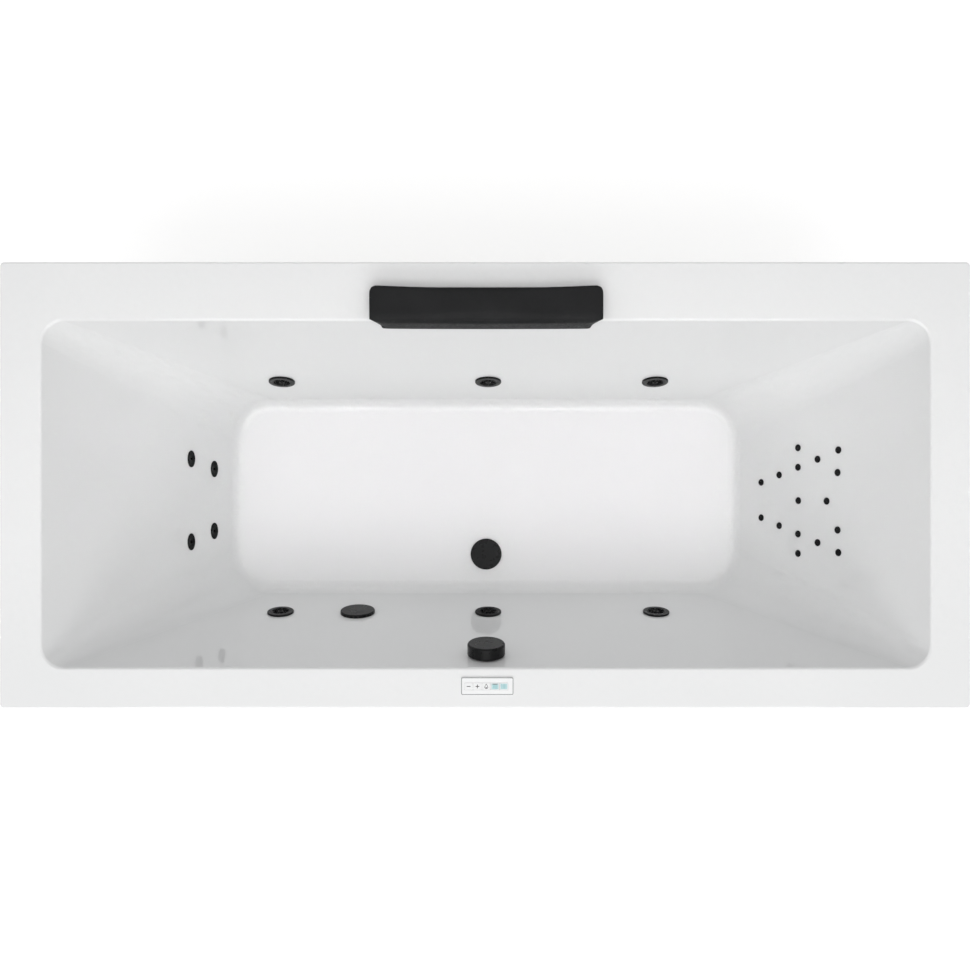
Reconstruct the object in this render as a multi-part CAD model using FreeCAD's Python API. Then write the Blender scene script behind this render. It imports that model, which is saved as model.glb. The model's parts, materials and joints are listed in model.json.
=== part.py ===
"""Jetted bathtub: a rectangular built-in acrylic bath with its frame, massage
fittings, pump, blower, waste, overflow, keypad and headrest.

Millimetres. +X runs along the bath to its right end, +Y to the headrest side, +Z up.
The origin is the middle of the footprint, on the floor that the feet stand on.
"""
import FreeCAD, Part

import math
import os

V = FreeCAD.Vector
UP = V(0, 0, 1)

# ---- bath shell ----
TUB_LENGTH = 1850.0
TUB_WIDTH = 850.0
RIM_HEIGHT = 620.0
BASIN_DEPTH = 450.0
DECK_LEFT = 78.5
DECK_RIGHT = 75.0
DECK_REAR = 111.5
DECK_FRONT = 76.5
END_SLOPE_RUN = 266.0
REAR_WALL_RUN = 120.0
FRONT_WALL_RUN = 103.0
RIM_CORNER_RADIUS = 42.0
FLOOR_CORNER_RADIUS = 98.0
FLOOR_EDGE_RADIUS = 30.0
RIM_ROLL_RADIUS = 6.0
SHELL_THICKNESS = 8.0
SKIRT_HEIGHT = 40.0
SKIRT_THICKNESS = 5.0
OUTER_CORNER_RADIUS = 7.0
OUTER_EDGE_RADIUS = 3.0

# ---- carrying frame ----
BOARD_THICKNESS = 16.0
BOARD_INSET = 26.0
BOARD_CORNER_RADIUS = 60.0
BOARD_DRAIN_CLEARANCE = 15.0
RAIL_SIZE = 30.0
RAIL_WALL = 2.0
RAIL_DRAIN_DISTANCE = 76.0
RAIL_END_GAP = 20.0
CROSSBAR_SPACING = 1200.0
POST_SIZE = 25.0
POST_GAP = 7.5
POST_PAD_SIZE = 36.0
POST_PAD_THICKNESS = 3.0
FOOT_EDGE_DISTANCE = 95.0
FOOT_PAD_RADIUS = 28.0
FOOT_PAD_HEIGHT = 14.0
FOOT_STUD_RADIUS = 6.0
FOOT_HOLE_CLEARANCE = 0.5
FOOT_TRAVEL = 30.0
NUT_ACROSS_FLATS = 19.0
NUT_HEIGHT = 10.0
NUT_CLEARANCE = 0.05

# ---- side jets ----
SIDE_JET_PLACES = {"left": -448.0, "middle": 7.0, "right": 375.0}
REAR_JET_HEIGHT = 135.0
FRONT_JET_HEIGHT = 150.0
JET_FACE_RADIUS = 28.75
JET_FACE_HEIGHT = 4.5
JET_FACE_GAP = 0.4
JET_FACE_EDGE = 1.5
JET_BOWL_RADIUS = 19.0
JET_HOLE_RADIUS = 21.0
JET_NECK_RADIUS = 20.5
JET_NECK_BORE = 16.0
JET_SLEEVE_CLEARANCE = 0.3
JET_SLEEVE_DEPTH = 16.0
JET_BALL_RADIUS = 12.0
JET_BALL_DEPTH = 10.0
JET_BALL_BACK = 0.75
JET_BALL_CLEARANCE = 0.2
JET_SEAT_MOUTH = 10.8
JET_SNOUT_RADIUS = 6.0
JET_SNOUT_HEIGHT = 4.0
JET_NOZZLE_BORE = 3.8
JET_RIB_COUNT = 6
JET_RIB_THICKNESS = 1.4
JET_CHAMBER_RADIUS = 23.0
JET_CHAMBER_LENGTH = 46.0
JET_CHAMBER_WALL = 2.5
CLAMP_THICKNESS = 1.5
CLAMP_LAND = 4.5
CLAMP_CLEARANCE = 0.1
BACK_FLANGE_THICKNESS = 4.0
BACK_FLANGE_LAND = 6.5
WATER_PORT_DROP = 48.0
WATER_NECK_RADIUS = 13.0
WATER_PORT_DEPTH = 35.0
WATER_PORT_LENGTH = 34.0
AIR_PORT_RISE = 40.0
AIR_PORT_DEPTH = 30.0
AIR_PORT_LENGTH = 16.0
AIR_NECK_RADIUS = 7.0
SOCKET_WALL = 3.0
SOCKET_DEPTH = 12.0
SOCKET_CLEARANCE = 0.1
PIPE_END_GAP = 0.5

# ---- back jets and micro jets ----
MASSAGE_CENTRE_Y = -34.0
BACK_JET_RADIUS = 18.7
BACK_JET_HALF_WIDTH = 10.5
BACK_JET_HEIGHT = 3.0
BACK_JET_EDGE = 1.0
BACK_JET_FLAT_SHARE = 0.9
BACK_JET_TAIL_RADIUS = 9.0
BACK_JET_BORE = 3.2
BACK_JET_BOWL_DEPTH = 1.8
BACK_JET_PAIRS = ((141.0, 92.0), (71.0, 70.5))
MICRO_JET_RADIUS = 7.6
MICRO_JET_HEIGHT = 3.0
MICRO_JET_TAIL_RADIUS = 4.2
MICRO_JET_BORE = 1.6
MICRO_ARM_COUNT = 4
MICRO_ARM_START = (83.0, 40.0)
MICRO_ARM_STEP = (54.5, 16.3)
MICRO_OUTER_PAIRS = ((192.0, 115.0), (302.0, 107.0), (300.0, 60.0))
MICRO_CENTRE_PLACES = (193.0, 271.0)
TAIL_CLEARANCE = 0.3
CHAMBER_MARGIN = 24.0
CHAMBER_THICKNESS = 24.0
CHAMBER_WALL = 3.0
CHAMBER_CORNER_RADIUS = 12.0
CHAMBER_SPIGOT_LENGTH = 22.0
BRANCH_PIPE_RADIUS = 9.0

# ---- suction ----
SUCTION_PLACE = -279.0
SUCTION_COVER_RADIUS = 37.5
SUCTION_COVER_HEIGHT = 7.0
SUCTION_COVER_WALL = 2.5
SUCTION_COVER_EDGE = 2.5
SUCTION_SLOT_COUNT = 24
SUCTION_SLOT_WIDTH = 3.0
SUCTION_SLOT_HEIGHT = 2.6
SUCTION_NECK_RADIUS = 27.0
SUCTION_NECK_BORE = 23.5
SUCTION_HOLE_CLEARANCE = 0.5
SUCTION_DROP_DEPTH = 80.0
SUCTION_DROP_LENGTH = 44.0
SUCTION_BEND_RADIUS = 32.0
SUCTION_PIPE_RADIUS = 25.0
SUCTION_PIPE_WALL = 2.5

# ---- pipework ----
WATER_PIPE_RADIUS = 16.0
WATER_PIPE_WALL = 2.5
AIR_PIPE_RADIUS = 9.0
AIR_PIPE_WALL = 1.5
WATER_CROSS_HEIGHT = 322.0
AIR_CROSS_HEIGHT = 360.0
PIPE_SWEEP_RUN = 110.0
PIPE_BEND_RADIUS = 45.0
BALL_TEE_SIZE = 1.5

# ---- pump ----
PUMP_END_DISTANCE = 95.0
PUMP_AXIS_HEIGHT = 225.0
PUMP_WET_RADIUS = 72.0
PUMP_WET_WALL = 5.0
PUMP_WET_START = -232.0
PUMP_WET_LENGTH = 62.0
PUMP_INLET_LENGTH = 30.0
PUMP_OUTLET_LENGTH = 6.5
MOTOR_RADIUS = 60.0
MOTOR_WALL = 5.0
MOTOR_LENGTH = 270.0
MOTOR_END_THICKNESS = 10.0
MOTOR_FIN_HEIGHT = 4.0
MOTOR_FIN_THICKNESS = 2.5
MOTOR_FIN_COUNT = 28
ROTOR_RADIUS = 32.0
ROTOR_LENGTH = 135.0
ROTOR_GAP = 1.0
SHAFT_RADIUS = 8.0
BEARING_CLEARANCE = 0.05
IMPELLER_RADIUS = 52.0
IMPELLER_THICKNESS = 22.0
IMPELLER_VANES = 6
HUB_RADIUS = 14.0
FAN_RADIUS = 50.0
FAN_THICKNESS = 18.0
FAN_BLADES = 8
FAN_COVER_LENGTH = 48.0
FAN_COVER_WALL = 2.0
RUNNING_GAP = 8.0
PUMP_FOOT_WIDTH = 120.0
PUMP_FOOT_PLATE = 6.0
PUMP_SADDLE_LENGTH = 26.0
PUMP_SADDLE_WIDTH = 84.0

# ---- blower ----
BLOWER_END_DISTANCE = 95.0
BLOWER_RADIUS = 80.0
BLOWER_HEIGHT = 120.0
BLOWER_WALL = 3.0
BLOWER_BASE_SIZE = 150.0
BLOWER_BASE_THICKNESS = 6.0
BLOWER_NECK_LENGTH = 26.0
BLOWER_FAN_RADIUS = 62.0
BLOWER_FAN_HEIGHT = 30.0
BLOWER_BLADES = 12
BLOWER_POST_RADIUS = 22.0
BLOWER_POST_HEIGHT = 50.0
BLOWER_SHAFT_RADIUS = 4.0
BLOWER_SHAFT_DEPTH = 40.0
BLOWER_INTAKE_COUNT = 10
BLOWER_INTAKE_WIDTH = 8.0
BLOWER_INTAKE_HEIGHT = 24.0

# ---- waste ----
DRAIN_X = 2.5
DRAIN_WALL_DISTANCE = 84.5
PLUG_RADIUS = 36.0
PLUG_HEIGHT = 5.0
PLUG_EDGE_RADIUS = 1.5
PLUG_GAP = 0.5
PLUG_STEM_RADIUS = 4.0
PLUG_STEM_LENGTH = 46.0
PLUG_SEAL_RADIUS = 20.0
PLUG_SEAL_HEIGHT = 6.0
DRAIN_FLANGE_RADIUS = 34.0
DRAIN_FLANGE_HEIGHT = 1.5
DRAIN_HOLE_RADIUS = 25.0
DRAIN_THROAT_RADIUS = 24.0
DRAIN_THROAT_BORE = 21.5
DRAIN_THROAT_LENGTH = 32.0
DRAIN_GUIDE_RADIUS = 7.0
DRAIN_GUIDE_HEIGHT = 6.0
DRAIN_SPOKE_WIDTH = 3.0
STEM_CLEARANCE = 0.3
DRAIN_BODY_RADIUS = 31.0
DRAIN_BODY_WALL = 3.0
DRAIN_BODY_LENGTH = 54.0
DRAIN_OUTLET_RADIUS = 20.0
DRAIN_OUTLET_WALL = 2.5
DRAIN_OUTLET_LENGTH = 12.0
DRAIN_PORT_REACH = 48.0
DRAIN_PORT_HEIGHT = 124.0
TRAP_RADIUS = 36.0
TRAP_HEIGHT = 66.0
TRAP_WALL = 3.0
TRAP_TOP = 96.0
TRAP_OUTLET_DROP = 24.0
TRAP_OUTLET_LENGTH = 60.0
TRAP_COLLAR_RADIUS = 23.0
TRAP_COLLAR_LENGTH = 4.0

# ---- overflow ----
OVERFLOW_DEPTH = 60.0
KNOB_RADIUS = 37.0
KNOB_HEIGHT = 24.0
KNOB_GAP = 2.5
KNOB_EDGE_RADIUS = 4.0
KNOB_BACK_CHAMFER = 1.5
KNOB_WALL = 2.5
OVERFLOW_NECK_RADIUS = 17.0
OVERFLOW_NECK_BORE = 14.0
OVERFLOW_CHAMBER_RADIUS = 27.0
OVERFLOW_CHAMBER_LENGTH = 30.0
OVERFLOW_SPINDLE_RADIUS = 4.0
OVERFLOW_HOSE_RADIUS = 16.0
OVERFLOW_HOSE_WALL = 2.0
HOSE_BEND_RADIUS = 60.0
CABLE_RADIUS = 3.0
CABLE_OFFSET = 26.0

# ---- keypad and control box ----
KEYPAD_X = 4.4
KEYPAD_EDGE_DISTANCE = 42.0
KEYPAD_LENGTH = 99.5
KEYPAD_WIDTH = 33.4
KEYPAD_HEIGHT = 2.6
KEYPAD_CORNER_RADIUS = 2.5
KEYPAD_HOUSING_MARGIN = 5.5
KEYPAD_HOUSING_DEPTH = 26.0
KEYPAD_HOUSING_WALL = 2.0
KEYPAD_CUTOUT_CLEARANCE = 1.0
BUTTON_NAMES = ("minus", "plus", "clean", "air", "water")
BUTTON_PITCH = 16.8
BUTTON_LENGTH = 16.2
BUTTON_WIDTH = 13.2
BUTTON_HEIGHT = 3.0
BUTTON_CORNER_RADIUS = 1.2
BUTTON_ROW_SHIFT = (-2.0, -0.4)
BUTTON_PROUD = 0.4
BUTTON_TRAVEL = 0.6
BUTTON_CLEARANCE = 0.3
CONTROL_BOX_LENGTH = 180.0
CONTROL_BOX_DEPTH = 50.0
CONTROL_BOX_HEIGHT = 130.0
CONTROL_BOX_BASE = 155.0
CONTROL_BOX_WALL = 3.0
CONTROL_BOX_EDGE_RADIUS = 6.0
GLAND_RADIUS = 10.0
GLAND_BORE = 5.0
GLAND_LENGTH = 18.0
GLAND_OFFSET = 40.0

# ---- headrest ----
HEADREST_X = 2.4
HEADREST_LENGTH = 446.0
HEADREST_BACK_DISTANCE = 48.5
HEADREST_OVERHANG = 7.5
HEADREST_HEIGHT = 35.0
HEADREST_LIP_DEPTH = 22.0
HEADREST_LIP_LEAN = 7.5
HEADREST_END_TAPER = 23.0
HEADREST_CORNER_RADIUS = 15.0
HEADREST_EDGE_RADIUS = 2.5
HEADREST_CLEARANCE = 0.3

# ---- places worked out from the sizes above ----
FLOOR_Z = RIM_HEIGHT - BASIN_DEPTH
BOARD_TOP = FLOOR_Z - SHELL_THICKNESS
RAIL_TOP = BOARD_TOP - BOARD_THICKNESS
CROSSBAR_TOP = RAIL_TOP - RAIL_SIZE
DECK_UNDERSIDE = RIM_HEIGHT - SHELL_THICKNESS
RIM_LEFT = -TUB_LENGTH / 2 + DECK_LEFT
RIM_RIGHT = TUB_LENGTH / 2 - DECK_RIGHT
RIM_FRONT = -TUB_WIDTH / 2 + DECK_FRONT
RIM_REAR = TUB_WIDTH / 2 - DECK_REAR
POST_Y = TUB_WIDTH / 2 - SKIRT_THICKNESS - POST_GAP - POST_SIZE / 2
FOOT_SPACING = TUB_WIDTH - 2 * FOOT_EDGE_DISTANCE
DRAIN_Y = RIM_FRONT + FRONT_WALL_RUN + DRAIN_WALL_DISTANCE
RAIL_SPACING = -2 * (DRAIN_Y + RAIL_DRAIN_DISTANCE)
PUMP_X = PUMP_END_DISTANCE - TUB_LENGTH / 2
BLOWER_X = TUB_LENGTH / 2 - BLOWER_END_DISTANCE
KEYPAD_Y = KEYPAD_EDGE_DISTANCE - TUB_WIDTH / 2
HEADREST_BACK_Y = TUB_WIDTH / 2 - HEADREST_BACK_DISTANCE
HEADREST_FRONT_Y = RIM_REAR - HEADREST_OVERHANG
JET_HEIGHTS = {"rear": REAR_JET_HEIGHT, "front": FRONT_JET_HEIGHT}
PUMP_WET_END = PUMP_WET_START + PUMP_WET_LENGTH
MOTOR_START = PUMP_WET_END + MOTOR_END_THICKNESS
MOTOR_END = MOTOR_START + MOTOR_LENGTH
FAN_START = MOTOR_END + RUNNING_GAP
ROTOR_START = (MOTOR_START + MOTOR_END - ROTOR_LENGTH) / 2
ROTOR_END = ROTOR_START + ROTOR_LENGTH

# Each wall: where its top edge is, how far it comes in over the depth, and the way it leans.
WALLS = {
    "front": (RIM_FRONT, FRONT_WALL_RUN, V(0, -1, 0)),
    "rear": (RIM_REAR, REAR_WALL_RUN, V(0, 1, 0)),
    "left": (RIM_LEFT, END_SLOPE_RUN, V(-1, 0, 0)),
    "right": (RIM_RIGHT, END_SLOPE_RUN, V(1, 0, 0)),
}


# ---- shapes in general ----
def box(low, high):
    """A block between two opposite corners."""
    size = V(*high) - V(*low)
    return Part.makeBox(size.x, size.y, size.z, V(*low))


def block(centre, size):
    """A block about its centre."""
    corner = V(*centre) - V(*size) * 0.5
    return Part.makeBox(size[0], size[1], size[2], corner)


def disc(radius, bottom, top, centre=(0, 0)):
    """A cylinder along Z between two heights."""
    return Part.makeCylinder(radius, top - bottom, V(centre[0], centre[1], bottom))


def rod(radius, start, end):
    """A cylinder between two points."""
    way = end - start
    return Part.makeCylinder(radius, way.Length, start, way)


def ring(outer, inner, bottom, top, centre=(0, 0)):
    """A washer or sleeve along Z."""
    return disc(outer, bottom, top, centre).cut(disc(inner, bottom, top, centre))


def outline(points, to_3d):
    """A closed wire; a point given as a pair of points is an arc through the first of them."""
    edges = []
    last = to_3d(points[0])
    for item in list(points[1:]) + [points[0]]:
        if isinstance(item[0], tuple):
            middle, end = to_3d(item[0]), to_3d(item[1])
            edges.append(Part.Arc(last, middle, end).toShape())
        else:
            end = to_3d(item)
            if not last.isEqual(end, 1e-6):
                edges.append(Part.LineSegment(last, end).toShape())
        last = end
    return Part.Wire(edges)


def revolved(points):
    """A solid turned about Z from (radius, height) points."""
    face = Part.Face(outline(points, lambda p: V(p[0], 0, p[1])))
    return face.revolve(V(0, 0, 0), UP, 360)


def rounded_rectangle(low, high, radius, height):
    """A level wire with four round corners."""
    diagonal = radius * (1 - math.sqrt(0.5))
    points = [
        (low[0] + radius, low[1]),
        (high[0] - radius, low[1]),
        ((high[0] - diagonal, low[1] + diagonal), (high[0], low[1] + radius)),
        (high[0], high[1] - radius),
        ((high[0] - diagonal, high[1] - diagonal), (high[0] - radius, high[1])),
        (low[0] + radius, high[1]),
        ((low[0] + diagonal, high[1] - diagonal), (low[0], high[1] - radius)),
        (low[0], low[1] + radius),
        ((low[0] + diagonal, low[1] + diagonal), (low[0] + radius, low[1])),
    ]
    return outline(points, lambda p: V(p[0], p[1], height))


def plate(low, high, radius, bottom, top):
    """A level plate with round corners."""
    face = Part.Face(rounded_rectangle(low, high, radius, bottom))
    return face.extrude(V(0, 0, top - bottom))


def edges_where(shape, test):
    """The edges whose bounding box passes the test."""
    return [edge for edge in shape.Edges if test(edge.BoundBox)]


def bent_path(points, bend_radius):
    """A wire of straight runs joined by tangent arcs."""
    edges = []
    last = points[0]
    for before, corner, after in zip(points, points[1:], points[2:]):
        way_in = (corner - before).normalize()
        way_out = (after - corner).normalize()
        turn = way_in.getAngle(way_out)
        trim = bend_radius * math.tan(turn / 2)
        start = corner - way_in * trim
        end = corner + way_out * trim
        to_centre = (way_out - way_in).normalize()
        centre = corner + to_centre * (bend_radius / math.cos(turn / 2))
        edges.append(Part.LineSegment(last, start).toShape())
        edges.append(Part.Arc(start, centre - to_centre * bend_radius, end).toShape())
        last = end
    edges.append(Part.LineSegment(last, points[-1]).toShape())
    return Part.Wire(edges)


def swept(path, radius):
    """A round bar along a path."""
    first = path.OrderedEdges[0]
    start = first.valueAt(first.FirstParameter)
    way = first.tangentAt(first.FirstParameter)
    profile = Part.Wire(Part.makeCircle(radius, start, way))
    return path.makePipeShell([profile], True, False)


def pipe(points, radius, wall, bend_radius=PIPE_BEND_RADIUS):
    """A hollow pipe, straight between two points or bent at those between."""
    if len(points) == 2:
        start, end = points
        return rod(radius, start, end).cut(rod(radius - wall, start, end))
    path = bent_path(points, bend_radius)
    return swept(path, radius).cut(swept(path, radius - wall))


def square_tube(length, size, wall, centre, way):
    """A hollow square section along X, Y or Z about its centre."""
    across = V(1, 1, 1) - way
    outer = across * size + way * length
    inner = across * (size - 2 * wall) + way * length
    return block(centre, outer).cut(block(centre, inner))


def joined(pieces):
    """Several pieces made as one solid."""
    return pieces[0].fuse(pieces[1:]).removeSplitter()


def group(pieces):
    """Separate solids kept in one node."""
    return Part.makeCompound(pieces)


# ---- the basin walls ----
def wall_run(side, height):
    """How far a wall stands in from its top edge at a height."""
    run = WALLS[side][1]
    return run * (RIM_HEIGHT - height) / BASIN_DEPTH


def wall_place(side, height, offset=0.0):
    """A wall's X or Y at a height, moved out level for a skin of the given thickness."""
    rim, run, out = WALLS[side]
    sign = out.x + out.y
    level_offset = offset * math.hypot(run, BASIN_DEPTH) / BASIN_DEPTH
    return rim + sign * (level_offset - wall_run(side, height))


def wall_frame(side, along, height_above_floor):
    """A placement on a wall: its Z leaves the wall into the basin, its Y climbs the wall."""
    rim, run, out = WALLS[side]
    height = FLOOR_Z + height_above_floor
    level = wall_place(side, height)
    if side in ("front", "rear"):
        place = V(along, level, height)
    else:
        place = V(level, along, height)
    climb = (out * run + UP * BASIN_DEPTH).normalize()
    inward = (UP * run - out * BASIN_DEPTH).normalize()
    turn = FreeCAD.Rotation(climb.cross(inward), climb, inward, "ZYX")
    return FreeCAD.Placement(place, turn)


def on_wall(shape, frame):
    """A copy of a shape made about the origin, put on a wall."""
    placed = shape.copy()
    placed.Placement = frame.multiply(placed.Placement)
    return placed


def slope_frame(side, up_the_slope, along):
    """A placement on an end slope, measured from the floor's edge along the slope."""
    slope_length = math.hypot(END_SLOPE_RUN, BASIN_DEPTH)
    return wall_frame(side, along, up_the_slope * BASIN_DEPTH / slope_length)


def basin_solid(offset, top):
    """The basin's inside, or its outside when moved out by the shell's thickness."""
    wires = []
    for height in (FLOOR_Z - offset, top):
        share = (height - FLOOR_Z) / BASIN_DEPTH
        radius = FLOOR_CORNER_RADIUS + (RIM_CORNER_RADIUS - FLOOR_CORNER_RADIUS) * share + offset
        low = (wall_place("left", height, offset), wall_place("front", height, offset))
        high = (wall_place("right", height, offset), wall_place("rear", height, offset))
        wires.append(rounded_rectangle(low, high, radius, height))
    solid = Part.makeLoft(wires, True, True)
    bottom = edges_where(solid, lambda b: b.ZMax < FLOOR_Z - offset + 0.01)
    return solid.makeFillet(FLOOR_EDGE_RADIUS + offset, bottom)


# ---- where the fittings stand ----
def side_jet_frames():
    """The six side jets by name, three on each long wall."""
    frames = {}
    for side, height in JET_HEIGHTS.items():
        for name, along in SIDE_JET_PLACES.items():
            frames[side + "_" + name] = wall_frame(side, along, height)
    return frames


def back_jet_frames():
    """The four back jets on the left slope, in two pairs."""
    return [
        slope_frame("left", up, MASSAGE_CENTRE_Y + side * half)
        for up, half in BACK_JET_PAIRS
        for side in (-1, 1)
    ]


def micro_jet_pairs():
    """Distance up the slope and half spacing of each pair of micro jets."""
    arms = []
    for step in range(MICRO_ARM_COUNT):
        up = MICRO_ARM_START[0] + step * MICRO_ARM_STEP[0]
        half = MICRO_ARM_START[1] + step * MICRO_ARM_STEP[1]
        arms.append((up, half))
    return arms + list(MICRO_OUTER_PAIRS)


def micro_jet_frames():
    """The sixteen micro jets on the right slope."""
    frames = [slope_frame("right", up, MASSAGE_CENTRE_Y) for up in MICRO_CENTRE_PLACES]
    for up, half in micro_jet_pairs():
        for side in (-1, 1):
            frames.append(slope_frame("right", up, MASSAGE_CENTRE_Y + side * half))
    return frames


def suction_frame():
    """The suction fitting, in the front wall's row of jets."""
    return wall_frame("front", SUCTION_PLACE, FRONT_JET_HEIGHT)


def overflow_frame():
    """The overflow, high in the front wall."""
    return wall_frame("front", DRAIN_X, BASIN_DEPTH - OVERFLOW_DEPTH)


def drill(radius, frame):
    """A cutter through a wall."""
    reach = 3 * SHELL_THICKNESS
    return on_wall(disc(radius, -reach, reach), frame)


# ---- shell ----
def tub_shell():
    """Deck, skirt and basin in one acrylic skin, with its holes."""
    half = V(TUB_LENGTH / 2, TUB_WIDTH / 2, 0)
    outer = box((-half.x, -half.y, RIM_HEIGHT - SKIRT_HEIGHT), (half.x, half.y, RIM_HEIGHT))
    corners = edges_where(outer, lambda b: b.ZLength > SKIRT_HEIGHT / 2)
    outer = outer.makeFillet(OUTER_CORNER_RADIUS, corners)
    top_edges = edges_where(outer, lambda b: b.ZMin > RIM_HEIGHT - 0.01)
    outer = outer.makeFillet(OUTER_EDGE_RADIUS, top_edges)
    inside = half - V(SKIRT_THICKNESS, SKIRT_THICKNESS, 0)
    hollow = box((-inside.x, -inside.y, RIM_HEIGHT - SKIRT_HEIGHT), (inside.x, inside.y, DECK_UNDERSIDE))
    shell = outer.cut(hollow).fuse(basin_solid(SHELL_THICKNESS, RIM_HEIGHT)).removeSplitter()
    shell = shell.cut(basin_solid(0.0, RIM_HEIGHT + SKIRT_HEIGHT))
    rim_edges = edges_where(
        shell,
        lambda b: b.ZMin > RIM_HEIGHT - 0.01
        and RIM_LEFT - 1 < b.Center.x < RIM_RIGHT + 1
        and RIM_FRONT - 1 < b.Center.y < RIM_REAR + 1,
    )
    shell = shell.makeFillet(RIM_ROLL_RADIUS, rim_edges)
    cutters = [drill(JET_HOLE_RADIUS, frame) for frame in side_jet_frames().values()]
    cutters += [drill(BACK_JET_TAIL_RADIUS + TAIL_CLEARANCE, frame) for frame in back_jet_frames()]
    cutters += [drill(MICRO_JET_TAIL_RADIUS + TAIL_CLEARANCE, frame) for frame in micro_jet_frames()]
    cutters.append(drill(SUCTION_NECK_RADIUS + SUCTION_HOLE_CLEARANCE, suction_frame()))
    cutters.append(drill(OVERFLOW_NECK_RADIUS + SUCTION_HOLE_CLEARANCE, overflow_frame()))
    cutters.append(disc(DRAIN_HOLE_RADIUS, BOARD_TOP, FLOOR_Z + 1, (DRAIN_X, DRAIN_Y)))
    cutters.append(keypad_housing_block(KEYPAD_CUTOUT_CLEARANCE))
    return shell.cut(cutters)


# ---- carrying frame ----
def base_board():
    """The board under the basin's floor, open round the waste."""
    low = (wall_place("left", FLOOR_Z) + BOARD_INSET, wall_place("front", FLOOR_Z) + BOARD_INSET)
    high = (wall_place("right", FLOOR_Z) - BOARD_INSET, wall_place("rear", FLOOR_Z) - BOARD_INSET)
    board = plate(low, high, BOARD_CORNER_RADIUS, RAIL_TOP, BOARD_TOP)
    opening = DRAIN_BODY_RADIUS + BOARD_DRAIN_CLEARANCE
    return board.cut(disc(opening, RAIL_TOP, BOARD_TOP, (DRAIN_X, DRAIN_Y)))


def frame_rail(side):
    """A rail along the bath under the board; side is -1 in front and 1 at the rear."""
    centre = V(0, side * RAIL_SPACING / 2, RAIL_TOP - RAIL_SIZE / 2)
    length = TUB_LENGTH - 2 * RAIL_END_GAP
    return square_tube(length, RAIL_SIZE, RAIL_WALL, centre, V(1, 0, 0))


def foot_places():
    """The four levelling feet by name."""
    return {
        depth_name + "_" + end_name: V(x_side * CROSSBAR_SPACING / 2, y_side * FOOT_SPACING / 2, 0)
        for depth_name, y_side in (("front", -1), ("rear", 1))
        for end_name, x_side in (("left", -1), ("right", 1))
    }


def frame_crossbar(side):
    """A crossbar under the rails, drilled for its two feet; side is -1 left and 1 right."""
    centre = V(side * CROSSBAR_SPACING / 2, 0, CROSSBAR_TOP - RAIL_SIZE / 2)
    bar = square_tube(2 * POST_Y + POST_SIZE, RAIL_SIZE, RAIL_WALL, centre, V(0, 1, 0))
    radius = FOOT_STUD_RADIUS + FOOT_HOLE_CLEARANCE
    holes = [
        disc(radius, CROSSBAR_TOP - 2 * RAIL_SIZE, CROSSBAR_TOP + RAIL_SIZE, (centre.x, y))
        for y in (-FOOT_SPACING / 2, FOOT_SPACING / 2)
    ]
    return bar.cut(holes)


def rim_post(x_side, y_side):
    """An upright from a crossbar's end to the deck, with its pad."""
    x = x_side * CROSSBAR_SPACING / 2
    y = y_side * POST_Y
    top = DECK_UNDERSIDE - POST_PAD_THICKNESS
    middle = V(x, y, (CROSSBAR_TOP + top) / 2)
    tube = square_tube(top - CROSSBAR_TOP, POST_SIZE, RAIL_WALL, middle, UP)
    pad = block((x, y, top + POST_PAD_THICKNESS / 2), (POST_PAD_SIZE, POST_PAD_SIZE, POST_PAD_THICKNESS))
    return joined([tube, pad])


def rim_posts():
    """The four uprights."""
    return group([rim_post(x_side, y_side) for x_side in (-1, 1) for y_side in (-1, 1)])


def levelling_foot(place):
    """A stud moulded into its round foot, long enough to let the foot down by its travel."""
    pad = revolved([
        (0, 0),
        (FOOT_PAD_RADIUS, 0),
        (FOOT_PAD_RADIUS, FOOT_PAD_HEIGHT / 3),
        (FOOT_STUD_RADIUS * 2, FOOT_PAD_HEIGHT),
        (0, FOOT_PAD_HEIGHT),
    ])
    stud = disc(FOOT_STUD_RADIUS, FOOT_PAD_HEIGHT / 2, CROSSBAR_TOP + NUT_HEIGHT + FOOT_TRAVEL)
    foot = joined([pad, stud])
    foot.translate(place)
    return foot


def hex_nut(bottom, place):
    """A plain hexagon nut on a foot's stud."""
    corner_radius = NUT_ACROSS_FLATS / 2 / math.cos(math.pi / 6)
    corners = [
        V(corner_radius * math.cos(i * math.pi / 3), corner_radius * math.sin(i * math.pi / 3), bottom)
        for i in range(7)
    ]
    nut = Part.Face(Part.makePolygon(corners)).extrude(V(0, 0, NUT_HEIGHT))
    nut = nut.cut(disc(FOOT_STUD_RADIUS + NUT_CLEARANCE, bottom, bottom + NUT_HEIGHT))
    nut.translate(place)
    return nut


def foot_nuts():
    """A nut above and below the crossbar at each foot."""
    heights = (CROSSBAR_TOP, CROSSBAR_TOP - RAIL_SIZE - NUT_HEIGHT)
    return group([hex_nut(height, place) for place in foot_places().values() for height in heights])


# ---- fittings through the walls ----
def socket(radius, start, end):
    """A pipe socket between two points, with its bore, open at both ends."""
    way = (end - start).normalize()
    shape = rod(radius + SOCKET_WALL, start, end)
    bore = rod(radius - WATER_PIPE_WALL, start, end)
    seats = [
        rod(radius + SOCKET_CLEARANCE, start, start + way * SOCKET_DEPTH),
        rod(radius + SOCKET_CLEARANCE, end - way * SOCKET_DEPTH, end),
    ]
    return shape, [bore] + seats


def clamp_ring(neck_radius):
    """The ring screwed on a fitting's neck inside the basin."""
    return ring(neck_radius + CLAMP_LAND, neck_radius + CLAMP_CLEARANCE, 0, CLAMP_THICKNESS)


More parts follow.
